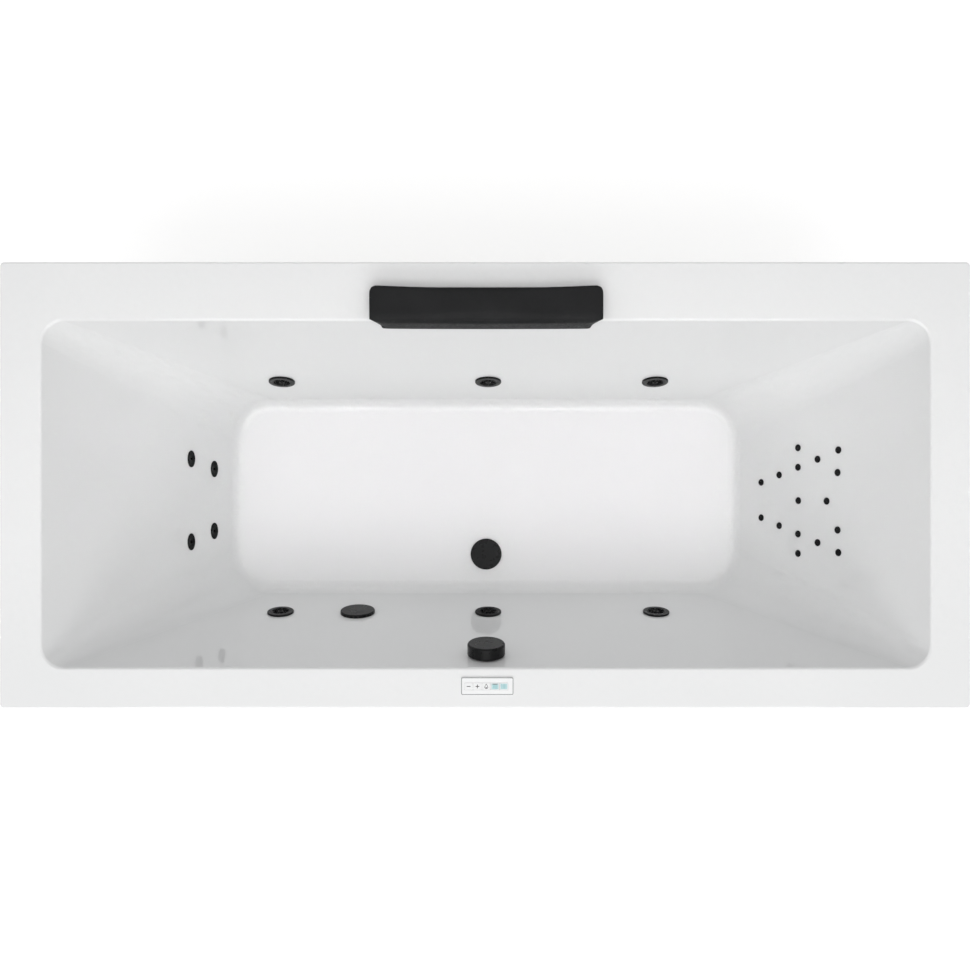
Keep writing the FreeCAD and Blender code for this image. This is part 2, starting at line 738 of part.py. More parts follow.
def side_jet_body():
    """A jet's body behind the wall, with its water and air sockets."""
    back = -SHELL_THICKNESS
    flange_back = back - BACK_FLANGE_THICKNESS
    end = flange_back - JET_CHAMBER_LENGTH
    neck = disc(JET_NECK_RADIUS, flange_back, CLAMP_THICKNESS)
    flange = disc(JET_NECK_RADIUS + BACK_FLANGE_LAND, flange_back, back)
    chamber = disc(JET_CHAMBER_RADIUS, end, flange_back)
    bore = disc(JET_NECK_BORE, end + JET_CHAMBER_WALL, CLAMP_THICKNESS)
    room = disc(JET_CHAMBER_RADIUS - JET_CHAMBER_WALL, end + JET_CHAMBER_WALL, flange_back - SOCKET_DEPTH)
    water_a = V(-WATER_PORT_LENGTH, -WATER_PORT_DROP, -WATER_PORT_DEPTH)
    water_b = V(WATER_PORT_LENGTH, -WATER_PORT_DROP, -WATER_PORT_DEPTH)
    water, water_cuts = socket(WATER_PIPE_RADIUS, water_a, water_b)
    air_a = V(-AIR_PORT_LENGTH, AIR_PORT_RISE, -AIR_PORT_DEPTH)
    air_b = V(AIR_PORT_LENGTH, AIR_PORT_RISE, -AIR_PORT_DEPTH)
    air, air_cuts = socket(AIR_PIPE_RADIUS, air_a, air_b)
    air_root = V(0, JET_NECK_BORE, -AIR_PORT_DEPTH)
    air_neck = rod(AIR_NECK_RADIUS, air_root, V(0, AIR_PORT_RISE, -AIR_PORT_DEPTH))
    water_root = V(0, 0, -WATER_PORT_DEPTH)
    water_neck = rod(WATER_NECK_RADIUS, water_root, V(0, -WATER_PORT_DROP, -WATER_PORT_DEPTH))
    body = joined([neck, flange, chamber, water, water_neck, air_neck, air])
    return body.cut([bore, room] + water_cuts + air_cuts)


def jet_ring():
    """The turning face of a side jet: a ribbed bowl, its skirt and the sleeve round the ball."""
    sleeve = JET_NECK_BORE - JET_SLEEVE_CLEARANCE
    seat = JET_BALL_RADIUS + JET_BALL_CLEARANCE
    rise = math.sqrt(seat ** 2 - JET_SEAT_MOUTH ** 2)
    under = CLAMP_THICKNESS + JET_FACE_GAP
    skirt = JET_NECK_RADIUS + CLAMP_LAND + JET_FACE_GAP
    edge = JET_FACE_EDGE * (1 - math.sqrt(0.5))
    flat = JET_FACE_RADIUS - JET_FACE_EDGE
    face = revolved([
        (JET_SEAT_MOUTH, -JET_SLEEVE_DEPTH),
        (sleeve, -JET_SLEEVE_DEPTH),
        (sleeve, under),
        (skirt, under),
        (skirt, JET_FACE_GAP),
        (JET_FACE_RADIUS, JET_FACE_GAP),
        (JET_FACE_RADIUS, JET_FACE_HEIGHT - JET_FACE_EDGE),
        ((JET_FACE_RADIUS - edge, JET_FACE_HEIGHT - edge), (flat, JET_FACE_HEIGHT)),
        (JET_BOWL_RADIUS, JET_FACE_HEIGHT),
        (JET_SEAT_MOUTH, rise - JET_BALL_DEPTH),
        ((seat, -JET_BALL_DEPTH), (JET_SEAT_MOUTH, -rise - JET_BALL_DEPTH)),
    ])
    bowl_floor = rise - JET_BALL_DEPTH
    rooted = Part.makeCone(
        JET_SEAT_MOUTH + JET_FACE_GAP,
        JET_BOWL_RADIUS + JET_FACE_GAP,
        JET_FACE_HEIGHT - bowl_floor,
        V(0, 0, bowl_floor),
    )
    ribs = []
    for i in range(JET_RIB_COUNT):
        rib = box(
            (JET_SEAT_MOUTH + JET_RIB_THICKNESS, -JET_RIB_THICKNESS / 2, bowl_floor),
            (JET_BOWL_RADIUS, JET_RIB_THICKNESS / 2, JET_FACE_HEIGHT - JET_FACE_GAP),
        )
        rib.rotate(V(0, 0, 0), UP, (i + 0.5) * 360 / JET_RIB_COUNT)
        ribs.append(rib.common(rooted).Solids[0])
    return joined([face] + ribs)


def jet_nozzle():
    """The ball that aims a side jet, flat at the back, with its short snout and bore."""
    snout_root = math.sqrt(JET_BALL_RADIUS ** 2 - JET_SNOUT_RADIUS ** 2) - JET_BALL_DEPTH
    back_radius = JET_BALL_RADIUS * math.sqrt(1 - JET_BALL_BACK ** 2)
    back = -JET_BALL_DEPTH - JET_BALL_BACK * JET_BALL_RADIUS
    return revolved([
        (JET_NOZZLE_BORE, JET_SNOUT_HEIGHT),
        (JET_SNOUT_RADIUS, JET_SNOUT_HEIGHT),
        (JET_SNOUT_RADIUS, snout_root),
        ((JET_BALL_RADIUS, -JET_BALL_DEPTH), (back_radius, back)),
        (JET_NOZZLE_BORE, back),
    ])


def back_jet():
    """A long, flat back jet with its bore and the tail that goes through the slope."""
    scale = FreeCAD.Matrix()
    scale.scale(BACK_JET_RADIUS, BACK_JET_HALF_WIDTH, 1)
    profile = revolved([
        (0, 0),
        (1, 0),
        (1, BACK_JET_HEIGHT - BACK_JET_EDGE),
        (BACK_JET_FLAT_SHARE, BACK_JET_HEIGHT),
        (0, BACK_JET_HEIGHT),
    ])
    face = profile.transformGeometry(scale)
    bowl = Part.makeCone(BACK_JET_BORE, BACK_JET_TAIL_RADIUS, BACK_JET_BOWL_DEPTH)
    bowl.translate(V(0, 0, BACK_JET_HEIGHT - BACK_JET_BOWL_DEPTH))
    tail_end = -SHELL_THICKNESS - CHAMBER_WALL
    tail = disc(BACK_JET_TAIL_RADIUS, tail_end, BACK_JET_HEIGHT / 2)
    return joined([face, tail]).cut([bowl, disc(BACK_JET_BORE, tail_end, BACK_JET_HEIGHT)])


def micro_jet():
    """A small domed jet with its bore and tail."""
    edge = MICRO_JET_RADIUS * 0.8
    dome = revolved([
        (0, 0),
        (MICRO_JET_RADIUS, 0),
        (MICRO_JET_RADIUS, MICRO_JET_HEIGHT / 3),
        ((edge, MICRO_JET_HEIGHT * 0.85), (MICRO_JET_TAIL_RADIUS, MICRO_JET_HEIGHT)),
        (0, MICRO_JET_HEIGHT),
    ])
    tail_end = -SHELL_THICKNESS - CHAMBER_WALL
    tail = disc(MICRO_JET_TAIL_RADIUS, tail_end, MICRO_JET_HEIGHT / 2)
    return joined([dome, tail]).cut(disc(MICRO_JET_BORE, tail_end, MICRO_JET_HEIGHT))


def water_chamber(side, pairs, frames, tail_radius, way):
    """The flat moulded box on the back of a slope that feeds the jets in front of it."""
    lowest, highest, half_width = jets_reach(pairs)
    half_height = (highest - lowest) / 2 + CHAMBER_MARGIN
    outer_width = half_width + CHAMBER_MARGIN
    front = -SHELL_THICKNESS
    back = front - CHAMBER_THICKNESS
    wall = CHAMBER_WALL
    outer = plate(
        (-outer_width, -half_height),
        (outer_width, half_height),
        CHAMBER_CORNER_RADIUS,
        back,
        front,
    )
    inner = plate(
        (wall - outer_width, wall - half_height),
        (outer_width - wall, half_height - wall),
        CHAMBER_CORNER_RADIUS - wall,
        back + wall,
        front - wall,
    )
    middle = slope_frame(side, (lowest + highest) / 2, MASSAGE_CENTRE_Y)
    mouth = chamber_mouth(side, pairs, way)
    inward = V(0, -way, 0)
    root = mouth + inward * (CHAMBER_SPIGOT_LENGTH + 2 * wall)
    spigot = rod(BRANCH_PIPE_RADIUS + SOCKET_WALL, mouth, root)
    spigot_bore = rod(BRANCH_PIPE_RADIUS - AIR_PIPE_WALL, mouth, root)
    seat = rod(BRANCH_PIPE_RADIUS + SOCKET_CLEARANCE, mouth, mouth + inward * SOCKET_DEPTH)
    holes = [on_wall(disc(tail_radius + TAIL_CLEARANCE, front - wall, front), frame) for frame in frames]
    shell = joined([on_wall(outer, middle), spigot])
    return shell.cut([on_wall(inner, middle), spigot_bore, seat] + holes)


def back_jet_chamber():
    """The box behind the four back jets, fed from the front water line."""
    return water_chamber("left", BACK_JET_PAIRS, back_jet_frames(), BACK_JET_TAIL_RADIUS, -1)


def micro_jet_chamber():
    """The box behind the sixteen micro jets, fed from the rear water line."""
    return water_chamber("right", micro_jet_pairs(), micro_jet_frames(), MICRO_JET_TAIL_RADIUS, 1)


def jets_reach(pairs):
    """The lowest and highest place up the slope of a group of jets, and its half width."""
    ups = [up for up, half in pairs]
    return min(ups), max(ups), max(half for up, half in pairs)


def chamber_mouth(side, pairs, way):
    """The mouth of a chamber's spigot, beyond its front (-1) or rear (1) end."""
    lowest, highest, half_width = jets_reach(pairs)
    middle = slope_frame(side, (lowest + highest) / 2, MASSAGE_CENTRE_Y)
    core = middle.multVec(V(0, 0, -SHELL_THICKNESS - CHAMBER_THICKNESS / 2))
    return core + V(0, way * (half_width + CHAMBER_MARGIN + CHAMBER_SPIGOT_LENGTH), 0)


def suction_drop():
    """The axis of the suction fitting's downward pipe: its top and its mouth."""
    top = suction_frame().multVec(V(0, 0, -SUCTION_DROP_DEPTH))
    return top, top - UP * SUCTION_DROP_LENGTH


def suction_body():
    """The suction fitting behind the wall, turning down to its pipe."""
    back = -SHELL_THICKNESS
    flange_back = back - BACK_FLANGE_THICKNESS
    radius = SUCTION_PIPE_RADIUS + SOCKET_WALL
    end = -SUCTION_DROP_DEPTH - radius - SOCKET_WALL
    neck = disc(SUCTION_NECK_RADIUS, flange_back, CLAMP_THICKNESS)
    flange = disc(SUCTION_NECK_RADIUS + BACK_FLANGE_LAND, flange_back, back)
    chamber = disc(radius, end, flange_back)
    bore = disc(SUCTION_NECK_BORE, end + SOCKET_WALL, CLAMP_THICKNESS)
    frame = suction_frame()
    top, mouth = suction_drop()
    drop = rod(radius - CLAMP_CLEARANCE, top, mouth)
    drop_bore = rod(SUCTION_PIPE_RADIUS - SUCTION_PIPE_WALL, top, mouth)
    seat = rod(SUCTION_PIPE_RADIUS + SOCKET_CLEARANCE, mouth + UP * SOCKET_DEPTH, mouth)
    body = joined([on_wall(piece, frame) for piece in (neck, flange, chamber)] + [drop])
    return body.cut([on_wall(bore, frame), drop_bore, seat])


def suction_cover():
    """The plain cover over the suction, with slots round its side."""
    edge = SUCTION_COVER_EDGE
    corner = edge * (1 - math.sqrt(0.5))
    inner = SUCTION_COVER_RADIUS - SUCTION_COVER_WALL
    underside = SUCTION_COVER_HEIGHT - SUCTION_COVER_WALL
    sleeve = SUCTION_NECK_BORE - CLAMP_CLEARANCE
    cover = revolved([
        (0, underside),
        (sleeve - SUCTION_COVER_WALL, underside),
        (sleeve - SUCTION_COVER_WALL, -SHELL_THICKNESS),
        (sleeve, -SHELL_THICKNESS),
        (sleeve, underside),
        (inner, underside),
        (inner, 0),
        (SUCTION_COVER_RADIUS, 0),
        (SUCTION_COVER_RADIUS, SUCTION_COVER_HEIGHT - edge),
        (
            (SUCTION_COVER_RADIUS - corner, SUCTION_COVER_HEIGHT - corner),
            (SUCTION_COVER_RADIUS - edge, SUCTION_COVER_HEIGHT),
        ),
        (0, SUCTION_COVER_HEIGHT),
    ])
    slots = []
    for i in range(SUCTION_SLOT_COUNT):
        slot = box(
            (sleeve - 2 * SUCTION_COVER_WALL, -SUCTION_SLOT_WIDTH / 2, underside - SUCTION_SLOT_HEIGHT),
            (SUCTION_COVER_RADIUS + 1, SUCTION_SLOT_WIDTH / 2, underside),
        )
        slot.rotate(V(0, 0, 0), UP, (i + 0.5) * 360 / SUCTION_SLOT_COUNT)
        slots.append(slot)
    return on_wall(cover.cut(slots), suction_frame())


def front_clamp_rings():
    """The rings that hold the wall fittings from inside the basin."""
    rings = [on_wall(clamp_ring(JET_NECK_RADIUS), frame) for frame in side_jet_frames().values()]
    rings.append(on_wall(clamp_ring(SUCTION_NECK_RADIUS), suction_frame()))
    rings.append(on_wall(clamp_ring(OVERFLOW_NECK_RADIUS), overflow_frame()))
    return group(rings)


# ---- pipework ----
def port_line(side, drop, depth):
    """The points of one row's sockets, from left to right."""
    frames = side_jet_frames()
    return [frames[side + "_" + name].multVec(V(0, drop, -depth)) for name in SIDE_JET_PLACES]


def pipes_between(points, port_length, radius, wall):
    """Straight pipes from each socket to the next."""
    reach = V(port_length - SOCKET_DEPTH + PIPE_END_GAP, 0, 0)
    return [pipe([a + reach, b - reach], radius, wall) for a, b in zip(points, points[1:])]


def manifold(legs, junction, radius, wall):
    """Pipes that meet in one hollow ball."""
    ball = BALL_TEE_SIZE * radius
    outer = [Part.makeSphere(ball, junction)]
    inner = [Part.makeSphere(ball - wall, junction)]
    for points in legs:
        if len(points) == 2:
            outer.append(rod(radius, *points))
            inner.append(rod(radius - wall, *points))
        else:
            path = bent_path(points, PIPE_BEND_RADIUS)
            outer.append(swept(path, radius))
            inner.append(swept(path, radius - wall))
    return joined(outer).cut(inner)


def feed_path(start, line_end, port_length):
    """From a ball tee out over the bath's end, then down to a row's first socket."""
    side = 1 if line_end.x > 0 else -1
    reach = port_length - SOCKET_DEPTH + PIPE_END_GAP
    return [
        start,
        V(start.x, line_end.y, start.z),
        V(start.x - side * PIPE_SWEEP_RUN, line_end.y, line_end.z),
        line_end + V(side * reach, 0, 0),
    ]


def pump_riser():
    """The mouth of the pump's discharge."""
    height = PUMP_AXIS_HEIGHT + PUMP_WET_RADIUS + PUMP_OUTLET_LENGTH
    return V(PUMP_X, PUMP_WET_START + PUMP_WET_LENGTH / 2, height)


def blower_riser():
    """The mouth of the blower's outlet."""
    return V(BLOWER_X, 0, RAIL_TOP + BLOWER_BASE_THICKNESS + BLOWER_HEIGHT + BLOWER_NECK_LENGTH)


def water_pipework():
    """The feed from the pump, the pipes between the jets and the branches to both chambers."""
    rows = {side: port_line(side, -WATER_PORT_DROP, WATER_PORT_DEPTH) for side in JET_HEIGHTS}
    riser = pump_riser()
    seat = riser - UP * (SOCKET_DEPTH - PIPE_END_GAP)
    junction = V(riser.x, riser.y, WATER_CROSS_HEIGHT)
    legs = [[seat, junction]]
    legs += [feed_path(junction, rows[side][0], WATER_PORT_LENGTH) for side in JET_HEIGHTS]
    feed = manifold(legs, junction, WATER_PIPE_RADIUS, WATER_PIPE_WALL)
    mouth = chamber_mouth("left", BACK_JET_PAIRS, -1)
    branch_end = mouth + V(0, SOCKET_DEPTH - PIPE_END_GAP, 0)
    front_line = rows["front"][0]
    tee = V(mouth.x, front_line.y, front_line.z)
    branch = bent_path([tee, V(tee.x, (tee.y + mouth.y) / 2, mouth.z), branch_end], BRANCH_PIPE_RADIUS * 2)
    branch_bore = BRANCH_PIPE_RADIUS - AIR_PIPE_WALL
    core = rod(WATER_PIPE_RADIUS - WATER_PIPE_WALL, tee - V(RAIL_SIZE, 0, 0), tee + V(RAIL_SIZE, 0, 0))
    feed = joined([feed, swept(branch, BRANCH_PIPE_RADIUS).cut(core)]).cut(swept(branch, branch_bore))
    return group([feed, micro_feed(rows["rear"][-1])] + [
        solid
        for row in rows.values()
        for solid in pipes_between(row, WATER_PORT_LENGTH, WATER_PIPE_RADIUS, WATER_PIPE_WALL)
    ])


def micro_feed(last_port):
    """A reducer after the last rear jet, and the pipe on to the micro jets' chamber."""
    start = last_port + V(WATER_PORT_LENGTH - SOCKET_DEPTH + PIPE_END_GAP, 0, 0)
    step = V(WATER_PORT_LENGTH, 0, 0)
    mouth = chamber_mouth("right", micro_jet_pairs(), 1)
    end = mouth - V(0, SOCKET_DEPTH - PIPE_END_GAP, 0)
    path = bent_path([
        start + step,
        V(mouth.x - PIPE_SWEEP_RUN, start.y, start.z),
        V(mouth.x, start.y, mouth.z),
        end,
    ], PIPE_BEND_RADIUS)
    reducer = rod(WATER_PIPE_RADIUS, start, start + step)
    bore = BRANCH_PIPE_RADIUS - AIR_PIPE_WALL
    wide = rod(WATER_PIPE_RADIUS - WATER_PIPE_WALL, start, start + step * 0.8)
    feed = joined([reducer, swept(path, BRANCH_PIPE_RADIUS)])
    return feed.cut([wide, rod(bore, start, start + step), swept(path, bore)])


def air_pipework():
    """The pipes from the blower to both rows of jets and between them."""
    rows = {side: port_line(side, AIR_PORT_RISE, AIR_PORT_DEPTH) for side in JET_HEIGHTS}
    riser = blower_riser()
    seat = riser - UP * (SOCKET_DEPTH - PIPE_END_GAP)
    junction = V(riser.x, riser.y, AIR_CROSS_HEIGHT)
    legs = [[seat, junction]]
    legs += [feed_path(junction, rows[side][-1], AIR_PORT_LENGTH) for side in JET_HEIGHTS]
    feed = manifold(legs, junction, AIR_PIPE_RADIUS, AIR_PIPE_WALL)
    return group([feed] + [
        solid
        for row in rows.values()
        for solid in pipes_between(row, AIR_PORT_LENGTH, AIR_PIPE_RADIUS, AIR_PIPE_WALL)
    ])


def suction_pipe():
    """The large pipe from the suction fitting to the pump."""
    top, mouth = suction_drop()
    inlet = PUMP_WET_START - PUMP_INLET_LENGTH
    return pipe([
        mouth + UP * (SOCKET_DEPTH - PIPE_END_GAP),
        V(mouth.x, mouth.y, PUMP_AXIS_HEIGHT),
        V(PUMP_X, mouth.y, PUMP_AXIS_HEIGHT),
        V(PUMP_X, inlet + SOCKET_DEPTH - PIPE_END_GAP, PUMP_AXIS_HEIGHT),
    ], SUCTION_PIPE_RADIUS, SUCTION_PIPE_WALL, SUCTION_BEND_RADIUS)


# ---- pump ----
def along_y(radius, start, end):
    """A cylinder on the pump's axis."""
    return rod(radius, V(PUMP_X, start, PUMP_AXIS_HEIGHT), V(PUMP_X, end, PUMP_AXIS_HEIGHT))


def blades(count, inner, outer, start, end, thickness):
    """Straight blades about the pump's axis."""
    made = []
    for i in range(count):
        blade = box(
            (PUMP_X + inner, start, PUMP_AXIS_HEIGHT - thickness / 2),
            (PUMP_X + outer, end, PUMP_AXIS_HEIGHT + thickness / 2),
        )
        blade.rotate(V(PUMP_X, 0, PUMP_AXIS_HEIGHT), V(0, 1, 0), i * 360 / count)
        made.append(blade)
    return made


def pump_volute():
    """The pump's wet end: inlet, round casing and discharge."""
    inlet_start = PUMP_WET_START - PUMP_INLET_LENGTH
    casing = along_y(PUMP_WET_RADIUS, PUMP_WET_START, PUMP_WET_END)
    inlet = along_y(SUCTION_PIPE_RADIUS + SOCKET_WALL, inlet_start, PUMP_WET_START)
    room = along_y(PUMP_WET_RADIUS - PUMP_WET_WALL, PUMP_WET_START + PUMP_WET_WALL, PUMP_WET_END)
    bore = along_y(SUCTION_PIPE_RADIUS - SUCTION_PIPE_WALL, inlet_start, PUMP_WET_END)
    seat = along_y(SUCTION_PIPE_RADIUS + SOCKET_CLEARANCE, inlet_start, inlet_start + SOCKET_DEPTH)
    mouth = pump_riser()
    base = V(mouth.x, mouth.y, PUMP_AXIS_HEIGHT + PUMP_WET_RADIUS - 2 * PUMP_WET_WALL)
    discharge = rod(WATER_PIPE_RADIUS + SOCKET_WALL, base, mouth)
    discharge_bore = rod(WATER_PIPE_RADIUS - WATER_PIPE_WALL, base, mouth)
    discharge_seat = rod(WATER_PIPE_RADIUS + SOCKET_CLEARANCE, mouth - UP * SOCKET_DEPTH, mouth)
    return joined([casing, inlet, discharge]).cut([room, bore, seat, discharge_bore, discharge_seat])


def pump_motor_casing():
    """The motor: its end plates, finned barrel and windings, with the shaft's bores."""
    fins = blades(
        MOTOR_FIN_COUNT,
        MOTOR_RADIUS - MOTOR_WALL / 2,
        MOTOR_RADIUS + MOTOR_FIN_HEIGHT,
        MOTOR_START,
        MOTOR_END,
        MOTOR_FIN_THICKNESS,
    )
    front = along_y(PUMP_WET_RADIUS, PUMP_WET_END, MOTOR_START)
    barrel = along_y(MOTOR_RADIUS, MOTOR_START, MOTOR_END)
    rear = along_y(MOTOR_RADIUS + MOTOR_FIN_HEIGHT, MOTOR_END - MOTOR_END_THICKNESS, MOTOR_END)
    room = along_y(MOTOR_RADIUS - MOTOR_WALL, MOTOR_START, MOTOR_END - MOTOR_END_THICKNESS)
    rotor_room = along_y(ROTOR_RADIUS + ROTOR_GAP, MOTOR_START, MOTOR_END - MOTOR_END_THICKNESS)
    windings = along_y(MOTOR_RADIUS - MOTOR_WALL, ROTOR_START, ROTOR_END).cut(rotor_room)
    bore = along_y(SHAFT_RADIUS + BEARING_CLEARANCE, PUMP_WET_END, MOTOR_END)
    body = joined([front, barrel, rear] + fins).cut([room, bore])
    return joined([body, windings])


def pump_shaft():
    """The pump's shaft with the motor's rotor on it."""
    start = PUMP_WET_START + PUMP_WET_WALL + RUNNING_GAP
    shaft = along_y(SHAFT_RADIUS, start, FAN_START + FAN_THICKNESS)
    return joined([shaft, along_y(ROTOR_RADIUS, ROTOR_START, ROTOR_END)])


def pump_impeller():
    """The impeller: a hub, a back plate and its vanes."""
    end = PUMP_WET_END - RUNNING_GAP
    start = end - IMPELLER_THICKNESS
    plate_start = end - IMPELLER_THICKNESS / 5
    vanes = blades(IMPELLER_VANES, HUB_RADIUS / 2, IMPELLER_RADIUS, start, end, IMPELLER_THICKNESS / 8)
    wheel = joined([along_y(HUB_RADIUS, start, end), along_y(IMPELLER_RADIUS, plate_start, end)] + vanes)
    return wheel.cut(along_y(SHAFT_RADIUS + BEARING_CLEARANCE, start, end))


def pump_cooling_fan():
    """The fan behind the motor."""
    end = FAN_START + FAN_THICKNESS
    vanes = blades(FAN_BLADES, HUB_RADIUS / 2, FAN_RADIUS, FAN_START, end, FAN_THICKNESS / 8)
    wheel = joined([along_y(HUB_RADIUS, FAN_START, end)] + vanes)
    return wheel.cut(along_y(SHAFT_RADIUS + BEARING_CLEARANCE, FAN_START, end))


def pump_fan_cover():
    """The cowl over the fan, with a ring of round vents in its end."""
    radius = MOTOR_RADIUS + MOTOR_FIN_HEIGHT
    end = MOTOR_END + FAN_COVER_LENGTH
    cover = along_y(radius, MOTOR_END, end)
    cover = cover.makeFillet(2 * FAN_COVER_WALL, edges_where(cover, lambda b: b.YMin > end - 0.01))
    room = along_y(radius - FAN_COVER_WALL, MOTOR_END, end - FAN_COVER_WALL)
    vents = []
    for ring_radius, count in ((FAN_RADIUS * 0.36, FAN_BLADES), (FAN_RADIUS * 0.72, 2 * FAN_BLADES)):
        for i in range(count):
            vent = along_y(FAN_THICKNESS / 4, end - 2 * FAN_COVER_WALL, end + 1)
            vent.translate(V(ring_radius, 0, 0))
            vent.rotate(V(PUMP_X, 0, PUMP_AXIS_HEIGHT), V(0, 1, 0), i * 360 / count)
            vents.append(vent)
    return cover.cut([room] + vents)


def pump_foot():
    """The pump's base on both rails, with a saddle over each."""
    top = RAIL_TOP + PUMP_FOOT_PLATE
    half_width = PUMP_FOOT_WIDTH / 2
    half_length = (RAIL_SPACING + RAIL_SIZE) / 2
    pieces = [box((PUMP_X - half_width, -half_length, RAIL_TOP), (PUMP_X + half_width, half_length, top))]
    saddle_top = PUMP_AXIS_HEIGHT - MOTOR_RADIUS / 2
    for y in (-RAIL_SPACING / 2, RAIL_SPACING / 2):
        pieces.append(box(
            (PUMP_X - PUMP_SADDLE_WIDTH / 2, y - PUMP_SADDLE_LENGTH / 2, top),
            (PUMP_X + PUMP_SADDLE_WIDTH / 2, y + PUMP_SADDLE_LENGTH / 2, saddle_top),
        ))
    seat = along_y(MOTOR_RADIUS + MOTOR_FIN_HEIGHT + CLAMP_CLEARANCE, -half_length, half_length)
    return joined(pieces).cut(seat)


# ---- blower ----
def blower_housing():
    """The blower's base, round housing, motor post and outlet."""
    base_top = RAIL_TOP + BLOWER_BASE_THICKNESS
    top = base_top + BLOWER_HEIGHT
    half_width = BLOWER_BASE_SIZE / 2
    half_length = (RAIL_SPACING + RAIL_SIZE) / 2
    at = (BLOWER_X, 0)
    base = box(
        (BLOWER_X - half_width, -half_length, RAIL_TOP),
        (BLOWER_X + half_width, half_length, base_top),
    )
    drum = disc(BLOWER_RADIUS, base_top, top, at)
    drum = drum.makeFillet(2 * BLOWER_WALL, edges_where(drum, lambda b: b.ZMin > top - 0.01))
    room = disc(BLOWER_RADIUS - BLOWER_WALL, base_top + BLOWER_WALL, top - BLOWER_WALL, at)
    mouth = blower_riser()
    neck = disc(AIR_PIPE_RADIUS + SOCKET_WALL, top - BLOWER_WALL, mouth.z, at)
    bore = disc(AIR_PIPE_RADIUS - AIR_PIPE_WALL, top - BLOWER_WALL, mouth.z, at)
    seat = disc(AIR_PIPE_RADIUS + SOCKET_CLEARANCE, mouth.z - SOCKET_DEPTH, mouth.z, at)
    intakes = []
    for i in range(BLOWER_INTAKE_COUNT):
        slot = box(
            (BLOWER_X + BLOWER_POST_RADIUS, -BLOWER_INTAKE_WIDTH / 2, base_top + 2 * BLOWER_WALL),
            (
                BLOWER_X + BLOWER_RADIUS + 1,
                BLOWER_INTAKE_WIDTH / 2,
                base_top + 2 * BLOWER_WALL + BLOWER_INTAKE_HEIGHT,
            ),
        )
        slot.rotate(V(BLOWER_X, 0, 0), UP, i * 360 / BLOWER_INTAKE_COUNT)
        intakes.append(slot)
    shell = joined([base, drum, neck]).cut([room, bore, seat] + intakes)
    post_top = base_top + BLOWER_POST_HEIGHT
    post = disc(BLOWER_POST_RADIUS, base_top, post_top, at)
    shaft_hole = disc(
        BLOWER_SHAFT_RADIUS + BEARING_CLEARANCE,
        post_top - BLOWER_SHAFT_DEPTH - CLAMP_LAND,
        post_top,
        at,
    )
    return joined([shell, post]).cut(shaft_hole)


def blower_fan():
    """The blower's fan wheel on its shaft."""
    post_top = RAIL_TOP + BLOWER_BASE_THICKNESS + BLOWER_POST_HEIGHT
    start = post_top + BLOWER_WALL
    at = (BLOWER_X, 0)
    shaft = disc(BLOWER_SHAFT_RADIUS, post_top - BLOWER_SHAFT_DEPTH, start, at)
    pieces = [shaft, disc(BLOWER_FAN_RADIUS, start, start + BLOWER_WALL, at)]
    for i in range(BLOWER_BLADES):
        blade = box(
            (BLOWER_X + BLOWER_POST_RADIUS, -BLOWER_WALL / 2, start),
            (BLOWER_X + BLOWER_FAN_RADIUS, BLOWER_WALL / 2, start + BLOWER_FAN_HEIGHT),
        )
        blade.rotate(V(BLOWER_X, 0, 0), UP, i * 360 / BLOWER_BLADES)
        pieces.append(blade)
    return joined(pieces)


# ---- waste ----
def drain_flange():
    """The flange on the basin's floor, its throat and the guide for the plug's stem."""
    bottom = DRAIN_FLANGE_HEIGHT - DRAIN_THROAT_LENGTH
    flange = ring(DRAIN_FLANGE_RADIUS, DRAIN_THROAT_BORE, 0, DRAIN_FLANGE_HEIGHT)
    throat = ring(DRAIN_THROAT_RADIUS, DRAIN_THROAT_BORE, bottom, DRAIN_FLANGE_HEIGHT)
    guide = disc(DRAIN_GUIDE_RADIUS, bottom, bottom + DRAIN_GUIDE_HEIGHT)
    spoke_end = (DRAIN_THROAT_BORE + DRAIN_THROAT_RADIUS) / 2
    spokes = []
    for i in range(3):
        spoke = box(
            (0, -DRAIN_SPOKE_WIDTH / 2, bottom),
            (spoke_end, DRAIN_SPOKE_WIDTH / 2, bottom + DRAIN_GUIDE_HEIGHT),
        )
        spoke.rotate(V(0, 0, 0), UP, i * 120)
        spokes.append(spoke)
    hole = disc(PLUG_STEM_RADIUS + STEM_CLEARANCE, bottom, bottom + DRAIN_GUIDE_HEIGHT)
    made = joined([flange, throat, guide] + spokes).cut(hole)
    made.translate(V(DRAIN_X, DRAIN_Y, FLOOR_Z))
    return made


def drain_plug():
    """The plug: a flat round cap, its seal and its stem."""
    bottom = DRAIN_FLANGE_HEIGHT + PLUG_GAP
    top = bottom + PLUG_HEIGHT
    corner = PLUG_EDGE_RADIUS * (1 - math.sqrt(0.5))
    plug = revolved([
        (0, top - PLUG_STEM_LENGTH),
        (PLUG_STEM_RADIUS, top - PLUG_STEM_LENGTH),
        (PLUG_STEM_RADIUS, bottom - PLUG_SEAL_HEIGHT),
        (PLUG_SEAL_RADIUS, bottom - PLUG_SEAL_HEIGHT),
        (PLUG_SEAL_RADIUS, bottom),
        (PLUG_RADIUS, bottom),
        (PLUG_RADIUS, top - PLUG_EDGE_RADIUS),
        ((PLUG_RADIUS - corner, top - corner), (PLUG_RADIUS - PLUG_EDGE_RADIUS, top)),
        (0, top),
    ])
    plug.translate(V(DRAIN_X, DRAIN_Y, FLOOR_Z))
    return plug


